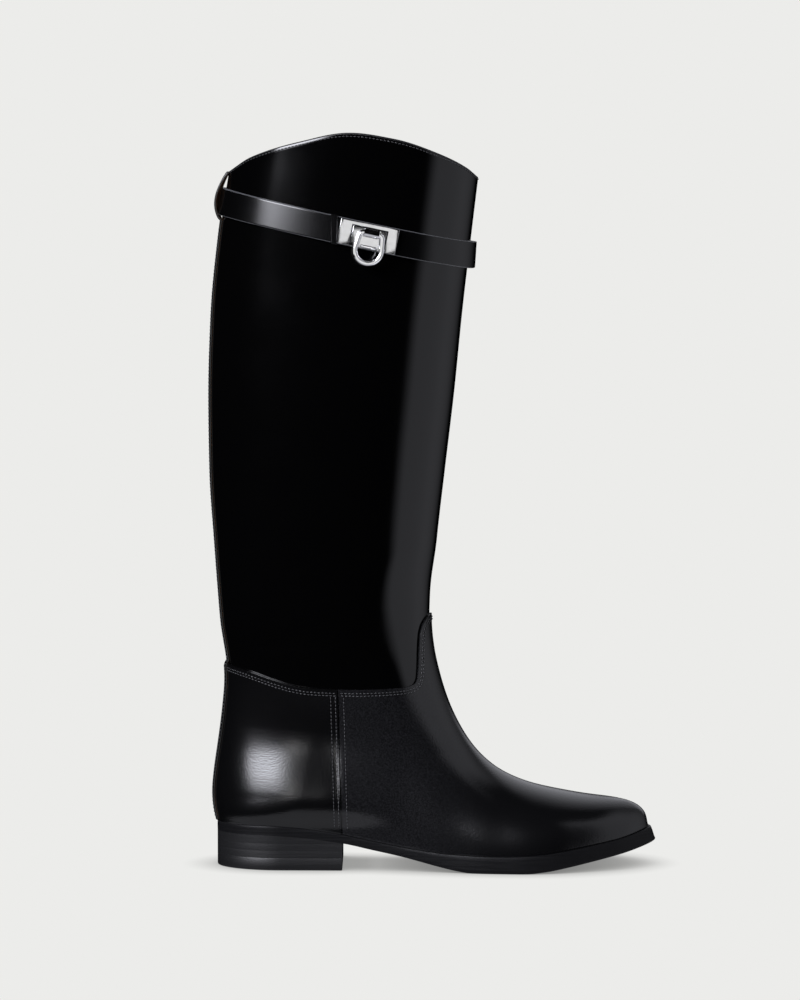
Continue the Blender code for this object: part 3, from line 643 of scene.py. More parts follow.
# %% Depth under the panels
SINK_FULL_BACK = 1.0    # the wall stays deep up to this far above the panels' edge, at the back
SINK_END_BACK = 28.0    # and is out again here
SINK_FULL = 12.0        # the same at the front
SINK_END = 45.0
FLARE_FROM_X = -20.0    # the back changes into the front between these
FLARE_TO_X = 28.0
SEAM_SAMPLES = 401
seam_x = np.linspace(SEAM[0, 0], SEAM[-1, 0], SEAM_SAMPLES)
seam_line = np.column_stack([seam_x, seam_z(seam_x)])


def sink(x, z):
    """How deep the wall lies under the foot panels' outer face."""
    above = distance(seam_line, x, z) * np.sign(z - seam_z(x))
    at_front = ease(FLARE_FROM_X, FLARE_TO_X, x)
    full = mix(SINK_FULL_BACK, SINK_FULL, at_front)
    end = mix(SINK_END_BACK, SINK_END, at_front)
    return (PANEL + GAP) * (1 - ease(full, end, above))


print("wall lies %.1f mm deep under the panels" % (PANEL + GAP))

# %% [markdown]
# The shaft has been worn and folded a little above the heel. Each crease is listed one by one: its
# middle in the side view, its length, its slant, its width and its depth. A crease is a soft trough
# with a low ridge beside it, so that it catches light on one edge.

# %% Creases of the shaft
CREASES = np.array([
    # x, z, length, slant in degrees, width, depth
    (-18.0, 239.0, 34.0, 14.0, 3.2, 0.14), (-24.0, 231.0, 26.0, 8.0, 2.6, 0.10),
    (-9.0, 155.0, 20.0, 32.0, 2.4, 0.16), (-26.0, 141.0, 18.0, -10.0, 1.9, 0.20),
    (-24.0, 147.0, 20.0, -4.0, 2.2, 0.15), (-15.0, 135.0, 26.0, -14.0, 2.6, 0.10),
    (62.0, 150.0, 30.0, -24.0, 4.0, 0.08),
])
CREASE_FADE = 1.6    # how soon a crease ends
RIDGE_SHARE = 0.45   # height of its ridge, as a share of its depth
RIDGE_ASIDE = 1.7    # place of its ridge, in widths


def creases(x, z):
    """How far the creases move the surface."""
    depth = np.zeros_like(x)
    for middle_x, middle_z, length, slant, width, deep in CREASES:
        c = math.cos(math.radians(slant))
        s = math.sin(math.radians(slant))
        along = ((x - middle_x) * c + (z - middle_z) * s) / (length / 2)
        across = ((z - middle_z) * c - (x - middle_x) * s) / width
        fade = np.exp(-along ** 2 * CREASE_FADE)
        ridge = RIDGE_SHARE * np.exp(-(across - RIDGE_ASIDE) ** 2)
        depth -= deep * fade * (np.exp(-across ** 2) - ridge)
    return depth


print("creases:", len(CREASES))

# %% [markdown]
# With the rows, the depth and the creases the wall can be made. The outside takes many rows, because
# it is glossy, and the lining fewer. The rim between them is half a circle. Each row is told its
# finish: lining, painted rim or calf.

# %% Build the upper
LEG_COLUMNS = 110
RIM_STEPS = 6
SHAFT_ROWS = 110
FOOT_ROWS = 36
SHAFT_LINING_ROWS = 40
FOOT_LINING_ROWS = 24
outer_t = np.concatenate([np.linspace(0, SHAFT_SPLIT, SHAFT_ROWS),
                          np.linspace(SHAFT_SPLIT, 1, FOOT_ROWS)[1:]])
inner_t = np.concatenate([np.linspace(1, SHAFT_SPLIT, FOOT_LINING_ROWS),
                          np.linspace(SHAFT_SPLIT, 0, SHAFT_LINING_ROWS)[1:]])


def lowered(table, normal, offset):
    """A table moved along its normals, with its last ring on the feather line."""
    moved = table + normal * offset[..., None]
    moved[-1, :, 2] = feather_z(moved[-1, :, 0])
    return moved


def make_upper():
    form = leg_rows(outer_t, LEG_COLUMNS)
    normal = normals(form, closed=True)
    under = -sink(form[..., 0], form[..., 2])
    worn = creases(form[..., 0], form[..., 2])
    outside = lowered(form, normal, under + worn)
    lining_form = leg_rows(inner_t[::-1], LEG_COLUMNS)
    lining_normal = normals(lining_form, closed=True)
    lining_depth = -sink(lining_form[..., 0], lining_form[..., 2]) - WALL
    inside = lowered(lining_form, lining_normal, lining_depth)
    fall = outside[1] - outside[0]
    fall /= np.linalg.norm(fall, axis=1, keepdims=True)
    across = (outside[0] - inside[0]) / 2
    middle = (outside[0] + inside[0]) / 2 + fall * WALL / 2
    rim = []
    for angle in np.linspace(math.pi, 0, RIM_STEPS + 1):
        rim.append(middle + across * math.cos(angle) - fall * math.sin(angle) * WALL / 2)
    wall = np.concatenate([outside[-1:], inside[:0:-1], np.array(rim), outside[1:]])
    looks = [shaft_calf, lining, painted_rim]
    row_looks = np.zeros(len(wall) - 1, int)
    row_looks[:len(inside)] = looks.index(lining)
    row_looks[len(inside):len(inside) + RIM_STEPS] = looks.index(painted_rim)
    return piece("boot_upper", draped(wall, row_looks), looks, ["upper"])


upper = make_upper()

# %% [markdown]
# ## Foot panels
# The counter wraps the heel, and the vamp wraps the front of the foot and runs up the shin as a short
# tongue. Both lie over the shaft's lower edge. Cutting them out of a finished tube would leave ragged
# squares along the cut, so each panel gets a net of its own whose outer rows run along its edges. A
# Solidify modifier gives the leather its thickness and a Bevel breaks the cut edge.

# %% Helper for panels
def panel_finish(made, thickness, edge=0.35, inner_look=0):
    """Thickness inwards and broken edges."""
    wall = made.modifiers.new("thickness", "SOLIDIFY")
    wall.thickness = thickness * MM
    wall.offset = -1.0
    wall.material_offset = inner_look
    rim = made.modifiers.new("edge", "BEVEL")
    rim.width = edge * MM
    rim.segments = 3
    rim.limit_method = "ANGLE"
    rim.angle_limit = math.radians(50)


# %% [markdown]
# The counter's net runs round the heel from one side seam to the other. Its front edge is folded over
# a cord, which shows as a low bright ridge down the seam.

# %% Counter
RIDGE = 0.55                 # height of the folded edge, its width, and how far it lies from the seam
RIDGE_WIDTH = 0.9
RIDGE_IN = 0.4
RIDGE_START = 0.08           # share of the height over which it rises from the top edge
RIDGE_COLUMNS = (0.4, 0.8, 1.2, 1.6, 2.0)    # extra columns of the net, from the seam
BACK_SEAM_X = -33.6
COUNTER_LENGTH = 70.0        # about, from the back to the side seam
COUNTER_COLUMNS = 60
COUNTER_ROWS = 90
COUNTER_EVEN = 0.25          # 0 crowds the columns at the back, 1 spreads them evenly


def counter_place(share, b):
    """Side view of the counter: share is 0 at the back, 1 at the side seam; b is 0 at the top."""
    zb = mix(seam_z(BACK_SEAM_X), FEATHER[0, 1], b)
    side_top = SIDE_SEAM_TOP_X - GAP / 2
    side_low = SIDE_SEAM_BOTTOM_X - GAP / 2
    x = mix(back_x(zb), mix(side_top, side_low, b), share)
    top = seam_z(mix(back_x(seam_z(BACK_SEAM_X)), side_top, share))
    low = feather_z(mix(FEATHER[0, 0], side_low, share))
    return x, mix(top, low, b)


def counter_table():
    """The counter's outer face: columns run from the inner side seam round the heel to the outer one."""
    s = np.linspace(0, 1, COUNTER_COLUMNS + 1)
    share = mix(1 - np.cos(s * math.pi / 2), s, COUNTER_EVEN)
    share = np.unique(np.append(share, 1 - np.array(RIDGE_COLUMNS) / COUNTER_LENGTH))
    b = np.linspace(0, 1, COUNTER_ROWS)[:, None]
    x, z = counter_place(share[None, :], b)
    outer = on_boot(x, z, True)
    inner = on_boot(x, z, False)
    outer[:, 0, 1] = 0
    table = np.concatenate([inner[:, :0:-1], outer], axis=1)
    normal = normals(table)
    if normal[COUNTER_ROWS // 2, 0, 1] < 0:
        normal = -normal
    edge_x = mix(SIDE_SEAM_TOP_X, SIDE_SEAM_BOTTOM_X, b) - RIDGE_IN
    ridge = RIDGE * np.exp(-((table[..., 0] - edge_x) / RIDGE_WIDTH) ** 2)
    table = table + normal * (COUNTER_STEP + ridge * ease(0.0, RIDGE_START, b))[..., None]
    table[-1, :, 2] = feather_z(table[-1, :, 0])
    return table


counter_face = counter_table()
counter = piece("heel_counter", draped(counter_face), [heel_calf], ["counter"],
                outward=lambda p: Vector((p.x, p.y, 0.0)))
panel_finish(counter, PANEL + COUNTER_STEP)

# %% [markdown]
# The vamp's edge runs from the tip of the tongue down to the ankle, back along the ankle and down the
# side seam. The front line of the foot is its partner. Each row of the net joins a point of the edge
# to a point of the front line, like ribs of a fan, so no squares fold over in the corner below the
# tongue, where a simple four-sided patch would.

# %% Vamp
EDGE_CORNER_X = 83.5            # corner of the edge below the tongue
FRONT_AT_CORNER_Z = 112.0       # places on the front line that join this corner and the side seam's top
FRONT_AT_SIDE_SEAM_X = 120.0
TONGUE_ROWS = 46
ANKLE_ROWS = 46
SIDE_ROWS = 74
VAMP_COLUMNS = 80
VAMP_EVEN = 0.15                # 0 crowds the columns at the front, 1 spreads them evenly
TONGUE_FROM_X = 80.0            # span in which the tongue's tip is searched
TONGUE_TO_X = 100.0
TOE_RUBS = 6                    # how often and how strongly the toe is rubbed, and from where
TOE_RUB = 0.5
TOE_FROM_X = 185.0
TOE_TO_X = 205.0
ANKLE = Vector((60.0, 0.0, 30.0))


def tongue_tip():
    """Where the panel's top edge meets the front line."""
    x = np.linspace(TONGUE_FROM_X, TONGUE_TO_X, 800)
    front_x = np.interp(seam_z(x), front_line[::-1, 1], front_line[::-1, 0])
    tip = x[np.argmin(abs(front_x - x))]
    return np.array([tip, seam_z(tip)])


def by_length(line, count):
    """Points of a line at equal steps along it."""
    run = run_along(line)
    at = np.linspace(0, run[-1], count)
    return np.column_stack([np.interp(at, run, line[:, 0]), np.interp(at, run, line[:, 1])])


def vamp_edge():
    """The panel's edge in the side view: tongue, ankle, side seam."""
    tip = tongue_tip()
    x = np.linspace(tip[0], EDGE_CORNER_X, 600)
    tongue = np.column_stack([x, seam_z(x)])
    x = np.linspace(EDGE_CORNER_X, SIDE_SEAM_TOP_X + GAP / 2, 400)
    ankle = np.column_stack([x, seam_z(x)])
    share = np.linspace(0, 1, 50)
    side_x = mix(SIDE_SEAM_TOP_X, SIDE_SEAM_BOTTOM_X, share) + GAP / 2
    side = np.column_stack([side_x, mix(ankle[-1, 1], feather_z(side_x[-1]), share)])
    return np.vstack([by_length(tongue, TONGUE_ROWS + 1), by_length(ankle, ANKLE_ROWS + 1)[1:],
                      by_length(side, SIDE_ROWS + 1)[1:]])


def vamp_front():
    """The front line's partners of the edge points."""
    on_foot = front_and_nose[:, 1] < FRONT_AT_CORNER_Z
    side_run = np.interp(FRONT_AT_SIDE_SEAM_X, front_and_nose[on_foot, 0], front_run[on_foot])
    stops = [run_at(tongue_tip()[1]), run_at(FRONT_AT_CORNER_Z), side_run, front_run[-1]]
    rows = (TONGUE_ROWS, ANKLE_ROWS, SIDE_ROWS)
    runs = [np.linspace(a, b, count + 1)[1:] for a, b, count in zip(stops, stops[1:], rows)]
    return np.column_stack(along_front(np.concatenate([stops[:1], *runs])))


def rubbed(table):
    """Rubs the toe smooth, as on the last: its points move towards their neighbours."""
    for _ in range(TOE_RUBS):
        middle = (table[:-2, 1:-1] + table[2:, 1:-1] + table[1:-1, :-2] + table[1:-1, 2:]) / 4
        share = TOE_RUB * ease(TOE_FROM_X, TOE_TO_X, table[1:-1, 1:-1, :1])
        table[1:-1, 1:-1] = mix(table[1:-1, 1:-1], middle, share)
    return table


def vamp_table():
    """The vamp's outer face: columns run from the outer side seam over the front to the inner one."""
    s = np.linspace(0, 1, VAMP_COLUMNS + 1)
    u = mix(1 - np.cos(s * math.pi / 2), s, VAMP_EVEN)[None, :]
    edge = vamp_edge()
    front = vamp_front()
    x = mix(front[:, :1], edge[:, :1], u)
    z = mix(front[:, 1:], edge[:, 1:], u)
    feather_x = mix(front[-1, 0], edge[-1, 0], u)
    sag = feather_z(feather_x) - mix(front[-1, 1], edge[-1, 1], u)
    share = np.clip((np.arange(len(edge)) - TONGUE_ROWS - ANKLE_ROWS) / SIDE_ROWS, 0, 1)[:, None]
    z = z + share ** RIM_EASE * sag
    outer = on_boot(x, z, True)
    inner = on_boot(x, z, False)
    outer[:, 0, 1] = 0
    return rubbed(np.concatenate([outer[:, ::-1], inner[:, 1:]], axis=1))


def from_ankle(p):
    """Outwards, seen from inside the ankle."""
    return p - ANKLE * MM


vamp_face = vamp_table()
vamp = piece("vamp_panel", draped(vamp_face), [vamp_calf], ["vamp"], outward=from_ankle)
panel_finish(vamp, PANEL)

# %% [markdown]
# ## Backstay and belt loop
# A narrow strip covers the back seam from the heel to the collar. Near the top it stands off the shaft
# as a loop for the belt, and there its raw brown flesh side shows. The strip is a sheet that lies on
# the back of the form, and Solidify gives its inner side the second finish.

# %% Backstay
STRIP = 1.2
STRIP_HALF_WIDTH = 6.5
STRIP_EDGE = 0.3
STRIP_STEP_LOW = 124.6     # over this height the strip steps down from the counter to the shaft
STRIP_STEP_HIGH = 125.9
STRIP_ROWS_CHANGE = 145.0  # below this height the rows lie closer
STRIP_ROWS = 60
STRIP_COLUMNS = 9
STRIP_END = 0.2            # its lower end stops this far above the sole
LOOP_BOTTOM = 398.0
LOOP_TOP = 428.0
LOOP_ROWS = 50
LOOP_REACH = 4.6
LOOP_LOW = 0.85            # moves the loop's furthest place up or down
LOOP_FULLNESS = 0.8
LOOP_TWIST = 0.16          # the loop turns its outer edge backwards
SEARCH_WIDTH = 30.0        # span in which the back's surface is searched, by halving
SEARCH_STEPS = 18


def back_of_shaft(y, z):
    """x of the outer form at the back, for tables of y and z."""
    low = back_x(z)
    high = low + SEARCH_WIDTH
    for _ in range(SEARCH_STEPS):
        middle = (low + high) / 2
        wide = half_width(middle, z, True) > abs(y)
        high = np.where(wide, middle, high)
        low = np.where(wide, low, middle)
    return (low + high) / 2


def strip_table():
    """The strip's outer face, from the top down."""
    end = FEATHER[0, 1] + STRIP_END
    levels = np.concatenate([np.linspace(LOOP_TOP, LOOP_BOTTOM, LOOP_ROWS),
                             np.linspace(LOOP_BOTTOM, STRIP_ROWS_CHANGE, STRIP_ROWS)[1:],
                             np.linspace(STRIP_ROWS_CHANGE, end, STRIP_ROWS)[1:]])
    across = np.linspace(-STRIP_HALF_WIDTH, STRIP_HALF_WIDTH, STRIP_COLUMNS)
    y, z = np.meshgrid(across, levels)
    wall = -sink(back_x(z), z)
    lift = mix(COUNTER_STEP, wall, ease(STRIP_STEP_LOW, STRIP_STEP_HIGH, z))
    share = np.clip((z - LOOP_BOTTOM) / (LOOP_TOP - LOOP_BOTTOM), 0, 1)
    out = LOOP_REACH * np.sin(math.pi * share ** LOOP_LOW) ** LOOP_FULLNESS
    turn = LOOP_TWIST * out / LOOP_REACH
    x = back_of_shaft(y, z) - lift - out + turn * y - STRIP
    return np.stack([x, y, z], axis=-1)


strip_face = strip_table()
backstay = piece("back_strip", draped(strip_face), [shaft_calf, flesh_side], ["backstay"],
                 outward=lambda p: Vector((-1.0, 0.0, 0.0)))
panel_finish(backstay, STRIP, STRIP_EDGE, 1)

# %% [markdown]
# ## Belt and keeper
# The belt is a strap of stiff leather round the top of the shaft, with its edges rounded; their plain
# light grey is a painted highlight.
# It falls a little towards the front. Its cross section is a rectangle with round corners, carried
# round the leg on the same form, a hair off the shaft.

# %% Belt
BELT_WIDTH = 16.8
BELT = 2.4                  # thickness
BELT_GAP = 0.4
BELT_BED = 0.2              # its soft inner side fills this much of the gap
BELT_CORNER = 0.75
BELT_SLACK = 1.6            # extra room at the front of the shaft, growing between the next two x
BELT_SLACK_FROM = 60.0
BELT_SLACK_TO = 125.0
BELT_LEVEL = 402.6          # height of the belt's middle at x = 0
BELT_SLOPE = 0.22           # fall per length towards the toe
BELT_SAG = 1.6              # the sides hang a little below the plane
BELT_LEAN = 0.055           # its lower edge stands off further
BELT_COLUMNS = 90
SETTLE_STEPS = 4            # a ring's height and place depend on each other
CORNER_STEPS = 4
FACE_SHARES = (0.94, 0.0, -0.94)    # points down the outer face
# rows of the section that are its upper and lower edge, with most of the outer corners; they take the
# light grey painted highlight
HIGHLIGHT_EDGE_ROWS = (4, 5, 6, 7, 14, 15, 16, 17)


def plan_normals(ring):
    """Outward directions of an open ring, in plan."""
    around = np.roll(ring, -1, axis=0) - np.roll(ring, 1, axis=0)
    normal = np.column_stack([around[:, 1], -around[:, 0]])
    return normal / np.linalg.norm(normal, axis=1, keepdims=True)


def belt_skin(offset, rise):
    """Ring round the shaft at a height above the belt's middle, moved off the leather."""
    level = np.full(BELT_COLUMNS + 1, BELT_LEVEL)
    s = (1 - np.cos(np.linspace(0, math.pi, BELT_COLUMNS + 1))) / 2
    for _ in range(SETTLE_STEPS):
        front_x = np.interp(level[-1], front_line[::-1, 1], front_line[::-1, 0])
        x = mix(back_x(level[0]), front_x, s)
        wide = half_width(x, level, True)
        level = BELT_LEVEL - BELT_SLOPE * x - BELT_SAG * wide / shaft_half(BELT_LEVEL) + rise
    wide[[0, -1]] = 0
    outer = np.column_stack([x, -wide, level])
    inner = np.column_stack([x, wide, level])
    ring = np.vstack([outer, inner[-2:0:-1]])
    slack = BELT_SLACK * ease(BELT_SLACK_FROM, BELT_SLACK_TO, ring[:, 0])
    ring[:, :2] += plan_normals(ring) * (offset + slack)[:, None]
    return np.vstack([ring, ring[:1]])


def strap_section(thickness, height, radius):
    """Offset and rise round a strap's section, with round corners."""
    points = []
    half = height / 2 - radius
    for middle, level, first in ((radius, half, 180.0), (thickness - radius, half, 90.0),
                                 (thickness - radius, -half, 0.0), (radius, -half, -90.0)):
        for angle in np.radians(np.linspace(first, first - 90.0, CORNER_STEPS + 1)):
            points.append((middle + radius * math.cos(angle), level + radius * math.sin(angle)))
        if first == 90.0:
            points += [(thickness, share * half) for share in FACE_SHARES]
    return points


def strap_table(first_offset, thickness, height, radius):
    """Rings of a strap round the shaft, closed on the first."""
    section = strap_section(thickness, height, radius)
    rings = [belt_skin(first_offset + offset - BELT_LEAN * rise, rise) for offset, rise in section]
    return np.array(rings + rings[:1])


belt_rings = strap_table(BELT_GAP - BELT_BED, BELT + BELT_BED, BELT_WIDTH, BELT_CORNER)
# the belt's edge rows take the light grey painted highlight
highlight_edge_rows = [1 if row in HIGHLIGHT_EDGE_ROWS else 0 for row in range(len(belt_rings) - 1)]
piece("belt_strap", draped(belt_rings, highlight_edge_rows), [belt_calf, belt_edge_highlight], ["belt"])

# %% [markdown]
# The keeper is a narrow band folded round the strap beside the clasp. It is a short piece of the same
# section, a little larger, with its two ends drawn in and filled.

# %% Keeper
CLASP_X = 54.5
PLATE_LENGTH = 36.0
KEEPER_WIDTH = 3.6
KEEPER = 1.0              # thickness
KEEPER_SPACE = 1.0        # to the plate
KEEPER_OVERHANG = 0.6     # past each edge of the belt
KEEPER_CORNER = 0.45
KEEPER_COLUMNS = 9
KEEPER_END = 0.25         # its ends bulge by this much
KEEPER_DRAWN_IN = (0.6, 0.6, 0.96)


def at_x(rings, x):
    """The section of a strap at places along its outer side."""
    outer = rings[:, :BELT_COLUMNS + 1]
    table = []
    for line in outer:
        table.append(np.column_stack([x, np.interp(x, line[:, 0], line[:, 1]),
                                      np.interp(x, line[:, 0], line[:, 2])]))
    return np.array(table)


def make_keeper():
    plate_end = CLASP_X - PLATE_LENGTH / 2 * math.cos(math.atan(BELT_SLOPE))
    last = plate_end - KEEPER_SPACE
    x = np.linspace(last - KEEPER_WIDTH, last, KEEPER_COLUMNS)
    height = BELT_WIDTH + 2 * KEEPER_OVERHANG
    table = at_x(strap_table(BELT_GAP + BELT, KEEPER, height, KEEPER_CORNER), x)
    table = np.concatenate([table[:, :1], table, table[:, -1:]], axis=1)
    for end in (0, -1):
        middle = table[:, end].mean(axis=0)
        table[:, end] = mix(middle, table[:, end], KEEPER_DRAWN_IN)
        table[:, end, 0] = x[end] + (KEEPER_END if end else -KEEPER_END)
    piece("belt_keeper_band", filled(table), [belt_calf], ["belt_keeper"])


make_keeper()

# %% [markdown]
# ## Clasp
# A polished plate sits on the strap, with a cut-out that is open at the bottom. A leaf fills the
# cut-out and carries a barrel, in which the ring hangs, and a lip below it. The clasp is modelled flat
# in its own frame, where x runs along the strap and y goes into it, and is then moved to the ring's
# hinge, which the frame knows.

# %% Place of the clasp
PLATE_HEIGHT = 15.3
PLATE = 1.8              # thickness
LEG_BACK = 7.3           # widths of the plate beside and above the cut-out
LEG_FRONT = 6.5
PLATE_BAR = 2.3
LEAF_CLEARANCE = 0.75
LEAF = 1.6
LEAF_FACE = -GAP - LEAF
BARREL_SHIFT = 1.6       # the barrel's middle, from the plate's
BARREL_RISE = 2.0
BARREL_STAND = 2.3       # its axis above the leaf's face
CLASP_EDGE = 0.2
CLASP_EDGE_STEPS = 3
CLASP_SHARP = 50.0       # degrees past which an edge is rounded
CLASP_CRISP = 30.0       # degrees past which the shading keeps an edge

hinge = frame["joints"][0]
along = -Vector(hinge["axis"])
inward = Vector((-along.y, along.x, 0.0)).normalized()
clasp_turn = Matrix((along, inward, along.cross(inward))).transposed().to_4x4()
barrel_axis = Vector((BARREL_SHIFT, LEAF_FACE - BARREL_STAND, BARREL_RISE))
clasp_seat = Matrix.Translation(hinge["pos_m"]) @ clasp_turn @ Matrix.Scale(MM, 4)
clasp_seat = clasp_seat @ Matrix.Translation(-barrel_axis)
print("clasp faces", [round(value, 3) for value in -inward])


def broken_edges(bm):
    """Rounds the sharp edges of a metal piece."""
    sharp = [edge for edge in bm.edges if edge.calc_face_angle(0.0) > math.radians(CLASP_SHARP)]
    bmesh.ops.bevel(bm, geom=sharp, offset=CLASP_EDGE, offset_type="OFFSET", affect="EDGES",
                    segments=CLASP_EDGE_STEPS, profile=0.5, material=-1, clamp_overlap=True)


def clasp_piece(name, bm, nodes=(), body="boot"):
    """Moves a piece from the clasp's own frame to the boot and files it."""
    bmesh.ops.transform(bm, matrix=clasp_seat, verts=bm.verts)
    return crisp(piece(name, bm, [metal], nodes, body), CLASP_CRISP)


# %% [markdown]
# The plate is stamped from sheet metal, so its outline is drawn once and extruded. The leaf is a plain
# block, a little smaller than the cut-out, so that a dark gap shows round it.

# %% Plate and leaf
def make_plate():
    half = PLATE_LENGTH / 2
    top = PLATE_HEIGHT / 2
    left = LEG_BACK - half
    right = half - LEG_FRONT
    bm = bmesh.new()
    outline = [(-half, top), (half, top), (half, -top), (right, -top), (right, top - PLATE_BAR),
               (left, top - PLATE_BAR), (left, -top), (-half, -top)]
    side = bm.faces.new([bm.verts.new((x, -GAP, z)) for x, z in outline])
    grown = bmesh.ops.extrude_face_region(bm, geom=[side])
    moved = [v for v in grown["geom"] if isinstance(v, bmesh.types.BMVert)]
    bmesh.ops.translate(bm, verts=moved, vec=(0.0, -PLATE, 0.0))
    bmesh.ops.recalc_face_normals(bm, faces=bm.faces)
    broken_edges(bm)
    return clasp_piece("clasp_front_plate", bm, ["clasp_plate"])


def make_leaf():
    half = PLATE_LENGTH / 2
    top = PLATE_HEIGHT / 2
    low = Vector((LEG_BACK - half + LEAF_CLEARANCE, LEAF_FACE, -top))
    high = Vector((half - LEG_FRONT - LEAF_CLEARANCE, -GAP, top - PLATE_BAR - LEAF_CLEARANCE))
    bm = bmesh.new()
    made = bmesh.ops.create_cube(bm, size=1.0)
    bmesh.ops.scale(bm, vec=high - low, verts=made["verts"])
    bmesh.ops.translate(bm, vec=(low + high) / 2, verts=made["verts"])
    broken_edges(bm)
    return clasp_piece("clasp_inner_leaf", bm, ["clasp_leaf"])


plate = make_plate()
leaf = make_leaf()

# %% [markdown]
# The barrel is a turned tube: a small section with its outer corners cut is spun once round the hinge.
# The lip is a rod with round ends, which a stretched ball gives.

# %% Barrel and lip
BARREL_RADIUS = 2.6
BARREL_BORE = 1.95
BARREL_LENGTH = 9.4
BARREL_CORNER = 0.25
BARREL_STEPS = 48
LIP_LENGTH = 10.6
LIP_RADIUS = 0.9
LIP_DROP = 6.4
LIP_MIDDLE = 1e-5    # points nearer than this to the ball's middle stay there


def make_barrel():
    bm = bmesh.new()
    half = BARREL_LENGTH / 2
    inner = BARREL_RADIUS - BARREL_CORNER
    section = [(-half, BARREL_BORE), (-half, inner), (BARREL_CORNER - half, BARREL_RADIUS),
               (half - BARREL_CORNER, BARREL_RADIUS), (half, inner), (half, BARREL_BORE)]
    verts = [bm.verts.new((x, 0.0, radius)) for x, radius in section]
    edges = [bm.edges.new(pair) for pair in zip(verts, verts[1:] + verts[:1])]
    bmesh.ops.spin(bm, geom=verts + edges, cent=(0, 0, 0), axis=(1, 0, 0), angle=2 * math.pi,
                   steps=BARREL_STEPS, use_merge=True)
    bmesh.ops.translate(bm, vec=barrel_axis, verts=bm.verts)
    clasp_piece("clasp_barrel", bm)


def make_lip():
    bm = bmesh.new()
    rod = bmesh.ops.create_uvsphere(bm, u_segments=20, v_segments=12, radius=LIP_RADIUS)["verts"]
    bmesh.ops.rotate(bm, verts=rod, matrix=Matrix.Rotation(math.radians(90), 3, "Y"))
    for v in rod:
        if abs(v.co.x) > LIP_MIDDLE:
            v.co.x += math.copysign(LIP_LENGTH / 2 - LIP_RADIUS, v.co.x)
    bmesh.ops.translate(bm, verts=rod, vec=(BARREL_SHIFT, LEAF_FACE, -LIP_DROP))
    return clasp_piece("clasp_lip", bm)


make_barrel()
lip = make_lip()

# %% [markdown]
# The ring is round wire: a straight bar through the barrel, two shoulders and a bow. A sheet closed both
# ways follows that path. A draped sheet comes out in metres, so it is scaled back to the clasp's own
# millimetres first.

# %% Ring
RING_WIRE = 1.6        # radius of the wire
RING_BOW = 8.1
RING_DROP = 10.1
RING_SHOULDER = 2.6
RING_PLAY = 0.1        # the shoulders begin this far inside the barrel's ends
WIRE_SIDES = 20


def make_ring():
    bar = BARREL_LENGTH / 2 - RING_PLAY
    reach = math.hypot(bar, RING_DROP - RING_SHOULDER)
    lean = math.atan2(RING_DROP - RING_SHOULDER, bar) - math.acos((RING_BOW - RING_SHOULDER) / reach)
    arcs = (
        # middle x and z, radius, first and last angle, steps
        (bar, -RING_SHOULDER, RING_SHOULDER, math.pi / 2, lean, 12),
        (0.0, -RING_DROP, RING_BOW, lean, -math.pi - lean, 72),
        (-bar, -RING_SHOULDER, RING_SHOULDER, math.pi - lean, math.pi / 2, 12),
    )
    table = []
    turn = np.linspace(0, 2 * math.pi, WIRE_SIDES + 1)
    for middle_x, middle_z, radius, first, last, steps in arcs:
        for angle in np.linspace(first, last, steps):
            out = radius + RING_WIRE * np.cos(turn)
            table.append(np.column_stack([middle_x + out * math.cos(angle), RING_WIRE * np.sin(turn),
                                          middle_z + out * math.sin(angle)]))
    table = np.array(table + table[:1]) + np.array(barrel_axis)
    bm = draped(table)
    bmesh.ops.scale(bm, vec=(1 / MM, 1 / MM, 1 / MM), verts=bm.verts)
    return clasp_piece("clasp_hanging_ring", bm, ["clasp_ring"], "ring")


ring = make_ring()

# %% [markdown]
# ## Sole, heel and insole
# The sole follows the foot's outline in plan, grown by a small margin. Its side is a band of rows with
# a groove under the leather and a broken lower edge. The flat faces are nets of straight lines across
# the foot, merged to the band.

# %% Outline of the foot
SOLE_BOTTOM = np.array([
    # x, z
    (-42.0, 21.6), (-12.0, 21.6), (10.0, 20.4), (38.6, 16.8), (58.0, 12.6), (73.0, 9.4),
    (86.0, 6.3), (98.0, 3.4), (109.0, 1.1), (118.0, 0.0), (150.0, 0.0), (162.0, 1.0),
    (176.0, 3.3), (193.0, 6.5), (213.0, 10.6), (234.0, 15.6),
])
SOLE_EDGE = np.array([
    # x, margin at the top and at the bottom
    (-42.0, 0.6, 0.6), (38.0, 0.8, 0.8), (75.0, 0.9, 0.7), (110.0, 1.8, 1.8), (150.0, 2.2, 2.4),
    (200.0, 2.0, 2.8), (228.0, 1.6, 4.2),
])
SOLE_COLUMNS = 120
FLAT_LINES = 13
sole_z = smooth(SOLE_BOTTOM)
edge_top = smooth(SOLE_EDGE, 1)
edge_bottom = smooth(SOLE_EDGE, 2)


def plan_ring(margin, height, columns=SOLE_COLUMNS):
    """The foot's outline grown by a margin, at a height that depends on x; closed on its first point."""
    ring = leg_rows([1.0], columns)[0][:-1]
    ring[:, :2] += plan_normals(ring) * margin(ring[:, 0])[:, None]
    ring[:, 2] = height(ring[:, 0])
    return np.vstack([ring, ring[:1]])


def two_sides(ring):
    """The outer and the inner half of a closed ring, both from the back to the front."""
    half = (len(ring) - 1) // 2
    return ring[:half + 1], ring[::-1][:half + 1]


def flat_face(ring):
    """A net of straight lines across a closed outline."""
    outer, inner = two_sides(ring)
    across = np.linspace(0, 1, FLAT_LINES)[None, :, None]
    return mix(outer[:, None], inner[:, None], across)


def join(bm, other):
    """Adds one bmesh to another."""
    mesh = bpy.data.meshes.new("joined")
    other.to_mesh(mesh)
    other.free()
    bm.from_mesh(mesh)
    bpy.data.meshes.remove(mesh)


def solid_of(rings):
    """A band of rings with its top and bottom faces."""
    bm = draped(np.array(rings))
    for ring in (rings[0], rings[-1]):
        join(bm, draped(flat_face(ring)))
    return bm


print("sole: %.0f mm long" % np.ptp(plan_ring(edge_bottom, sole_z)[:, 0]))

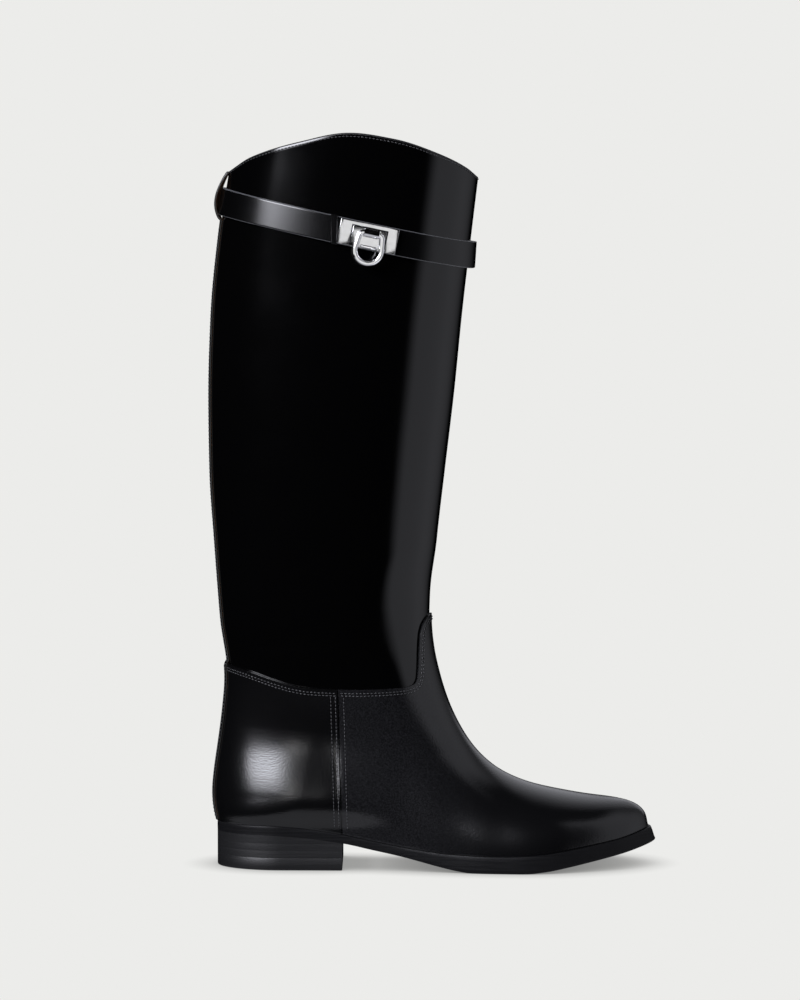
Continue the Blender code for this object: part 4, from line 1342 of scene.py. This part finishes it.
# %% [markdown]
# A leather sole is cut, sewn on and then trimmed along its edge. Its side swells very slightly between
# two broken edges. Ten rings draw that section, and the lower edge stays whole over the heel.

# %% Outsole
HEEL_BREAST_X = 38.6
HEEL_BLEND = 4.0       # the lower edge changes this far before and behind the breast
SOLE_UNDER = 0.1       # the sole begins this far below the leather
SOLE_CRISP = 50.0      # degrees past which the shading keeps an edge
SOLE_ROWS = (
    # share of the side's height from the top, step out from the margin, rise
    (0.0, -1.2, 0.0), (0.0, -0.45, 0.0), (0.0, -0.15, -0.15), (0.0, 0.0, -0.5), (0.25, 0.05, 0.0),
    (0.5, 0.08, 0.0), (0.75, 0.05, 0.0), (1.0, 0.0, 0.7), (1.0, -0.15, 0.25), (1.0, -0.6, 0.0),
)


def rounded_share(x, share):
    """The lower edge is only rounded in front of the heel."""
    return ease(HEEL_BREAST_X - HEEL_BLEND, HEEL_BREAST_X + HEEL_BLEND, x) if share == 1.0 else 1.0


def sole_ring(share, step, rise):
    """One ring of the sole's side."""
    def margin(x):
        return mix(edge_top(x), edge_bottom(x), share) + step * rounded_share(x, share)

    def height(x):
        return mix(feather_z(x) - SOLE_UNDER, sole_z(x), share) + rise * rounded_share(x, share)

    return plan_ring(margin, height)


sole_rings = [sole_ring(*row) for row in SOLE_ROWS]
crisp(piece("outsole_leather", solid_of(sole_rings), [sole_edge], ["outsole"]), SOLE_CRISP)

# %% [markdown]
# The heel is built up from lifts of leather, whose joints show as fine lines, and ends in a rubber top
# lift. Its outline is the back of the sole, cut straight across at the breast.

# %% Heel
TOP_LIFT = 7.6
LIFT = 4.4               # thickness of a leather lift
LAST_LIFT = 2.0          # the uppermost lift is at least this thick
LIFT_GROOVE = 0.015      # depth and half height of the joint between lifts
GROOVE_HALF = 0.15
HAIR = 0.05              # least step down from the heel's seat, and room between lifts and rubber
HEEL_COLUMNS = 60
BREAST_COLUMNS = 10
SEAT_X = -40.0           # where the height of the heel's seat is taken
TOP_LIFT_ROWS = (
    # height, step out from the margin
    (TOP_LIFT, -0.05), (TOP_LIFT - 0.1, 0.0), (0.8, 0.0), (0.3, -0.15), (0.0, -0.6),
)


def heel_ring(step, height):
    """The back of the sole's outline, moved out by a step and closed straight across at the breast."""
    ring = plan_ring(lambda x: edge_bottom(x) + step, height)
    last_x = HEEL_BREAST_X + step
    outer, inner = two_sides(ring)
    s = 1 - np.cos(np.linspace(0, math.pi / 2, HEEL_COLUMNS + 1))
    x = mix(ring[0, 0], last_x, s)
    outer_y = np.interp(x, outer[:, 0], outer[:, 1])
    inner_y = np.interp(x, inner[:, 0], inner[:, 1])
    across = np.linspace(outer_y[-1], inner_y[-1], BREAST_COLUMNS + 1)[1:-1]
    breast = np.column_stack([np.full(BREAST_COLUMNS - 1, last_x), across])
    plan = np.vstack([np.column_stack([x, outer_y]), breast, np.column_stack([x, inner_y])[::-1]])
    return np.column_stack([plan, height(plan[:, 0])])


def make_heel_stack():
    seat_back = sole_z(np.array([SEAT_X]))[0]
    rings = [heel_ring(0.0, sole_z)]
    levels = []
    for joint in np.arange(TOP_LIFT + LIFT, seat_back - LAST_LIFT, LIFT)[::-1]:
        levels += [(joint + GROOVE_HALF, 0.0), (joint, -LIFT_GROOVE), (joint - GROOVE_HALF, 0.0)]
    levels.append((TOP_LIFT + HAIR, 0.0))
    for level, step in levels:
        rings.append(heel_ring(step, lambda x: np.minimum(level, sole_z(x) - HAIR)))
    crisp(piece("heel_lifts", filled(rings), [heel_edge], ["heel_stack"]), SOLE_CRISP)


def make_top_lift():
    rings = []
    for level, step in TOP_LIFT_ROWS:
        rings.append(heel_ring(step, lambda x: np.full_like(x, level)))
    crisp(piece("heel_top_lift", filled(rings), [heel_rubber], ["top_lift"]), SOLE_CRISP)


make_heel_stack()
make_top_lift()

# %% [markdown]
# The insole is a board covered with the lining's tan leather, with a rounded top edge.

# %% Insole
INSOLE = 3.0             # thickness
INSOLE_DRAFT = 1.7       # its top edge leans in with the wall
INSOLE_COLUMNS = 60
INSOLE_ROWS = (
    # share of the thickness, step out
    (1.0, -1.0), (0.93, -0.35), (0.7, 0.0), (0.0, 0.0),
)


def make_insole():
    inside = PANEL + GAP + WALL + GAP
    rings = []
    for share, step in INSOLE_ROWS:
        draft = mix(2 * GAP, INSOLE_DRAFT, share)
        rings.append(plan_ring(lambda x: np.full_like(x, step - inside - draft),
                               lambda x: feather_z(x) + INSOLE * share, INSOLE_COLUMNS))
    piece("insole_board", solid_of(rings), [lining], ["insole"])


make_insole()

# %% [markdown]
# ## Stitches
# Every seam is sewn with black thread. Each stitch is a small stretched ball of 24 faces that lies half
# in the leather. A row is the panel's edge moved inwards over the surface by a set distance, and the
# ball is placed at equal steps along it. All stitches are one joined mesh.

# %% Rows of stitches
from mathutils.bvhtree import BVHTree

STITCH_PITCH = 2.3
STITCH_LENGTH = 1.75
STITCH_RADIUS = 0.37
STITCH_LIFT = 0.14
STITCH_SIDES = 6
STITCH_RINGS = 4


def surface_of(made):
    """A piece's surface, ready to be asked for its nearest point."""
    mesh = made.data
    return BVHTree.FromPolygons([v.co[:] for v in mesh.vertices], [p.vertices[:] for p in mesh.polygons])


def inset_row(surface, edge, inset, inwards):
    """An edge moved over a surface by a distance, towards a point of the surface."""
    row = []
    points = [Vector(point) * MM for point in edge]
    for i, point in enumerate(points):
        ahead = points[min(i + 1, len(points) - 1)] - points[max(i - 1, 0)]
        _, normal, _, _ = surface.find_nearest(point)
        aside = normal.cross(ahead)
        if aside.length < 1e-9:
            continue
        aside.normalize()
        if aside.dot(inwards(point)) < 0:
            aside = -aside
        row.append(point + aside * inset * MM)
    return row


def sew(bm, surface, row):
    """Lays stitches along a row, on the surface, and counts them."""
    points = np.array([point[:] for point in row])
    steps = np.linalg.norm(np.diff(points, axis=0), axis=1)
    keep = np.concatenate([[True], steps > SAME_POINT])
    points = points[keep]
    run = np.concatenate([[0], np.cumsum(np.linalg.norm(np.diff(points, axis=0), axis=1))])
    count = int(run[-1] / (STITCH_PITCH * MM))
    sewn = bmesh.new()
    for i in range(count):
        ends = (np.array([0.0, 0.5, 1.0]) + i) * STITCH_PITCH * MM
        back, here, ahead = (
            Vector([np.interp(end, run, points[:, axis]) for axis in range(3)]) for end in ends
        )
        place, normal, _, _ = surface.find_nearest(here)
        tangent = (ahead - back).normalized()
        side = normal.cross(tangent).normalized()
        size = Matrix.Diagonal((STITCH_RADIUS * MM, STITCH_RADIUS * MM, STITCH_LENGTH / 2 * MM))
        turn = Matrix((side, tangent.cross(side), tangent)).transposed() @ size
        place = place + normal * STITCH_LIFT * MM
        bmesh.ops.create_uvsphere(sewn, u_segments=STITCH_SIDES, v_segments=STITCH_RINGS, radius=1.0,
                                  matrix=Matrix.Translation(place) @ turn.to_4x4())
    join(bm, sewn)
    return count


# %% [markdown]
# The collar has one row, and the top edges of both foot panels have two. Beside the side seam the counter
# is sewn with two rows and the vamp with one. The back strip has a row along each edge, below its loop.

# %% Sew the boot
COLLAR_ROW_T = 0.0027       # the collar's row, as a share of the way down the boot
SEAM_ROWS = (2.2, 3.8)      # distances of the rows from their edges
SIDE_ROWS_IN = (1.4, 4.2)
VAMP_SIDE_ROW = 3.4
STRIP_ROW_IN = 1.4
COLLAR_COLUMNS = 200


def make_stitches():
    bm = bmesh.new()
    counts = {}
    upper_skin = surface_of(upper)
    collar = [Vector(point) * MM for point in leg_rows([COLLAR_ROW_T], COLLAR_COLUMNS)[0]]
    counts["collar"] = sew(bm, upper_skin, collar)
    counter_skin = surface_of(counter)
    counts["counter"] = 0
    for inset in SEAM_ROWS:
        row = inset_row(counter_skin, counter_face[0], inset, lambda p: Vector((0.0, 0.0, -1.0)))
        counts["counter"] += sew(bm, counter_skin, row)
    for edge in (counter_face[4:-2, 0], counter_face[4:-2, -1]):
        for inset in SIDE_ROWS_IN:
            row = inset_row(counter_skin, edge, inset, lambda p: Vector((-1.0, 0.0, 0.0)))
            counts["counter"] += sew(bm, counter_skin, row)
    vamp_skin = surface_of(vamp)
    counts["vamp"] = 0
    ankle = TONGUE_ROWS + ANKLE_ROWS
    for side in (0, -1):
        for inset in SEAM_ROWS:
            row = inset_row(vamp_skin, vamp_face[:ankle + 1, side], inset,
                            lambda p: Vector((1.0, 0.0, -1.0)))
            counts["vamp"] += sew(bm, vamp_skin, row)
        row = inset_row(vamp_skin, vamp_face[ankle + 4:-2, side], VAMP_SIDE_ROW,
                        lambda p: Vector((1.0, 0.0, 0.0)))
        counts["vamp"] += sew(bm, vamp_skin, row)
    strip_skin = surface_of(backstay)
    counts["strip"] = 0
    for column, sign in ((0, 1.0), (-1, -1.0)):
        low = strip_face[LOOP_ROWS:, column]
        row = inset_row(strip_skin, low, STRIP_ROW_IN, lambda p: Vector((0.0, sign, 0.0)))
        counts["strip"] += sew(bm, strip_skin, row)
    print("stitches:", counts)
    piece("seam_stitches", bm, [thread])


make_stitches()

# %% [markdown]
# ## Studio, light and camera
# The boot stands on a pale floor in front of a pale wall. Black leather shows little but what it
# mirrors, so the light is drawn as large soft panels in the world around it: a tall card on the right,
# a wall behind, a key box at the front left with a narrow foot below it, and the pale floor. The rest
# is a dark room. Lamps would do as well, but a panel's soft edges are easier to place in degrees.

# %% Soft panels round the boot
PANELS = (
    # what, azimuth from, to (right of the camera is positive), its two edges, elevation from, to,
    # its two edges (all in degrees), power
    ("right card", 50.0, 118.0, 13.0, 60.0, -70.0, 57.0, 5.0, 14.0, 0.57),
    ("back wall", 138.0, 176.0, 20.0, 6.0, 9.0, 54.0, 8.0, 44.0, 0.74),
    ("key box", -57.0, -23.0, 8.0, 12.0, 14.0, 40.0, 6.0, 14.0, 21.0),
    ("key box's foot", -50.0, -37.0, 12.0, 24.0, 9.0, 14.0, 6.0, 6.0, 6.0),
    ("pale floor", -182.0, 182.0, 1.0, 1.0, -100.0, -30.0, 1.0, 8.0, 0.50),
)
DARK_ROOM = 0.002
print("panels:", ", ".join(panel[0] for panel in PANELS))

# %% [markdown]
# The floor has to melt into the wall, with only a soft shadow under the boot. A lit floor would also
# show the key light's long shadow, which a studio fills with other lamps. So the floor glows as pale as
# the wall, and an Ambient Occlusion node darkens it where the boot stands close above it. Only the
# camera sees this plane: what the leather mirrors of the floor is one of the panels above.

# %% Floor
PALE = (0.839, 0.839, 0.823)
FLOOR_HALF = 5.0          # metres
SHADOW_REACH = 0.023      # metres
SHADOW_DEPTH = 0.25
SHADOW_SAMPLES = 32


def make_floor():
    bm = bmesh.new()
    bmesh.ops.create_grid(bm, x_segments=1, y_segments=1, size=FLOOR_HALF)
    mesh = bpy.data.meshes.new("studio_floor")
    bm.to_mesh(mesh)
    bm.free()
    look, tree, shader = new_look("pale_floor", (0.0, 0.0, 0.0), 1.0, Specular_IOR_Level=0.0)
    shade = tree.nodes.new("ShaderNodeAmbientOcclusion")
    shade.samples = SHADOW_SAMPLES
    shade.inputs["Distance"].default_value = SHADOW_REACH
    glow = ranged(tree, shade.outputs["AO"], 0.0, 1.0, SHADOW_DEPTH, 1.0, "LINEAR")
    shader.inputs["Emission Color"].default_value = (*PALE, 1.0)
    tree.links.new(glow, shader.inputs["Emission Strength"])
    mesh.materials.append(look)
    floor = bpy.data.objects.new("studio_floor", mesh)
    floor.visible_glossy = False
    floor.visible_diffuse = False
    bpy.context.scene.collection.objects.link(floor)
    print("floor: the shadow reaches %.0f mm" % (SHADOW_REACH / MM))


make_floor()

# %% [markdown]
# The world holds the same panels as nodes. Each panel is a window in azimuth and elevation with soft
# edges. The camera sees the plain pale wall instead, which a Light Path node sorts out.

# %% World
ROOM_TINT = (0.97, 0.98, 1.06)


def make_world():
    world = bpy.data.worlds.new("studio")
    bpy.context.scene.world = world
    world.use_nodes = True
    tree = world.node_tree
    tree.nodes.clear()
    place = tree.nodes.new("ShaderNodeTexCoord")
    parts = tree.nodes.new("ShaderNodeSeparateXYZ")
    tree.links.new(place.outputs["Generated"], parts.inputs["Vector"])

    def maths(operation, first, second=None):
        """One step of arithmetic on sockets or numbers."""
        made = tree.nodes.new("ShaderNodeMath")
        made.operation = operation
        for socket, value in zip(made.inputs, (first, second)):
            if isinstance(value, (int, float)):
                socket.default_value = value
            elif value is not None:
                tree.links.new(value, socket)
        return made.outputs[0]

    towards = maths("MULTIPLY", parts.outputs["Y"], -1.0)
    azimuth = maths("DEGREES", maths("ARCTAN2", parts.outputs["X"], towards))
    elevation = maths("DEGREES", maths("ARCSINE", parts.outputs["Z"]))

    def between(value, low, high, edge_in, edge_out):
        """A window with soft edges."""
        rise = ranged(tree, value, low - edge_in / 2, low + edge_in / 2, 0.0, 1.0)
        fall = ranged(tree, value, high - edge_out / 2, high + edge_out / 2, 1.0, 0.0)
        return maths("MULTIPLY", rise, fall)

    total = None
    for _, a_low, a_high, a_in, a_out, e_low, e_high, e_in, e_out, power in PANELS:
        mask = maths("MULTIPLY", between(azimuth, a_low, a_high, a_in, a_out),
                     between(elevation, e_low, e_high, e_in, e_out))
        shine = maths("MULTIPLY", mask, power)
        total = shine if total is None else maths("ADD", total, shine)
    room_light = tree.nodes.new("ShaderNodeBackground")
    room_light.inputs["Color"].default_value = (*ROOM_TINT, 1.0)
    tree.links.new(maths("ADD", total, DARK_ROOM), room_light.inputs["Strength"])
    wall = tree.nodes.new("ShaderNodeBackground")
    wall.inputs["Color"].default_value = (*PALE, 1.0)
    path = tree.nodes.new("ShaderNodeLightPath")
    choose = tree.nodes.new("ShaderNodeMixShader")
    out = tree.nodes.new("ShaderNodeOutputWorld")
    tree.links.new(path.outputs["Is Camera Ray"], choose.inputs["Fac"])
    tree.links.new(room_light.outputs[0], choose.inputs[1])
    tree.links.new(wall.outputs[0], choose.inputs[2])
    tree.links.new(choose.outputs[0], out.inputs["Surface"])
    print("world:", len(tree.nodes), "nodes")


make_world()
bpy.context.scene.view_settings.view_transform = "Standard"

# %% [markdown]
# Polished metal mirrors the dark side of the studio, where the camera stands, and would look black. In
# a studio, small cards beside the camera light it. Light linking does the same here: each lamp shines on
# a few pieces alone. One card serves the clasp's flat faces and two the round ring. A fourth brings out
# the brown flesh side of the belt's loop.

# %% Cards for clasp and loop
CAMERA_PLACE = (74.0, -3000.0, 451.7)
CARDS = (
    # name, distance and size in metres, power, turn to the left in degrees, what it shines on
    ("flat_card", 3.6, 1.7, 7.5, 0.0, (plate, leaf, lip)),
    ("ring_card", 1.6, 1.1, 3.6, 75.0, (ring,)),
    ("ring_front_card", 1.6, 2.2, 13.0, 18.0, (ring, lip)),
    ("loop_card", 3.0, 3.0, 34.0, 8.0, (backstay,)),
)


def hang_card(name, place, width, height, power, aim, pieces):
    """A lamp that faces a point and shines on a few pieces alone."""
    data = bpy.data.lights.new(name, "AREA")
    data.shape = "RECTANGLE"
    data.size = width
    data.size_y = height
    data.energy = power
    card = bpy.data.objects.new(name, data)
    card.location = place
    card.rotation_euler = (aim - place).to_track_quat("-Z", "Y").to_euler()
    card.visible_camera = False
    bpy.context.scene.collection.objects.link(card)
    lit = bpy.data.collections.new(name + "_pieces")
    for made in pieces:
        lit.objects.link(made)
    card.light_linking.receiver_collection = lit
    print(name, "at", [round(value, 2) for value in place])


def make_cards():
    middle = clasp_seat.to_translation()
    face = -inward
    seen_from = (Vector(CAMERA_PLACE) * MM - middle).normalized()
    mirrored = face * 2 * face.dot(seen_from) - seen_from
    for name, away, size, power, turn, pieces in CARDS:
        towards = Matrix.Rotation(math.radians(-turn), 3, "Z") @ mirrored
        hang_card(name, middle + towards * away, size, size, power, middle, pieces)


make_cards()

# %% [markdown]
# The key box ends where the vamp would begin to mirror it, but on the heel its light runs on to the
# lower right. A low, wide card that shines on the counter alone draws that tail.

# %% Card for the heel
HEEL_MIDDLE = (0.0, -32.0, 55.0)
HEEL_CARD_AWAY = 3.0
HEEL_CARD_AZIMUTH = -15.0
HEEL_CARD_RISE = 10.0
HEEL_CARD_WIDTH = 0.60
HEEL_CARD_HEIGHT = 0.20
HEEL_CARD_POWER = 2.4


def make_heel_card():
    aim = Vector(HEEL_MIDDLE) * MM
    azimuth = math.radians(HEEL_CARD_AZIMUTH)
    rise = math.radians(HEEL_CARD_RISE)
    level = Vector((math.sin(azimuth), -math.cos(azimuth), 0.0))
    towards = level * math.cos(rise) + Vector((0.0, 0.0, math.sin(rise)))
    hang_card("heel_card", aim + towards * HEEL_CARD_AWAY, HEEL_CARD_WIDTH, HEEL_CARD_HEIGHT,
              HEEL_CARD_POWER, aim, (counter,))


make_heel_card()

# %% [markdown]
# The photo shows the boot from its outer side, from far away and a little from above. A long lens gives
# that flat view. The camera stands level with the collar and is tilted down until the boot lies in the
# frame as in the photo.

# %% Camera
CAMERA_TILT = 4.308     # degrees
CAMERA_LENS = 175.62
SENSOR_WIDTH = 36.0


def make_camera():
    data = bpy.data.cameras.new("camera")
    data.lens = CAMERA_LENS
    data.sensor_width = SENSOR_WIDTH
    camera = bpy.data.objects.new("camera", data)
    camera.location = [value * MM for value in CAMERA_PLACE]
    camera.rotation_euler = (math.radians(90 - CAMERA_TILT), 0.0, 0.0)
    bpy.context.scene.collection.objects.link(camera)
    bpy.context.scene.camera = camera
    print("camera at", CAMERA_PLACE, "mm")


make_camera()

# %% [markdown]
# ## Finish

# %% Finish
import json
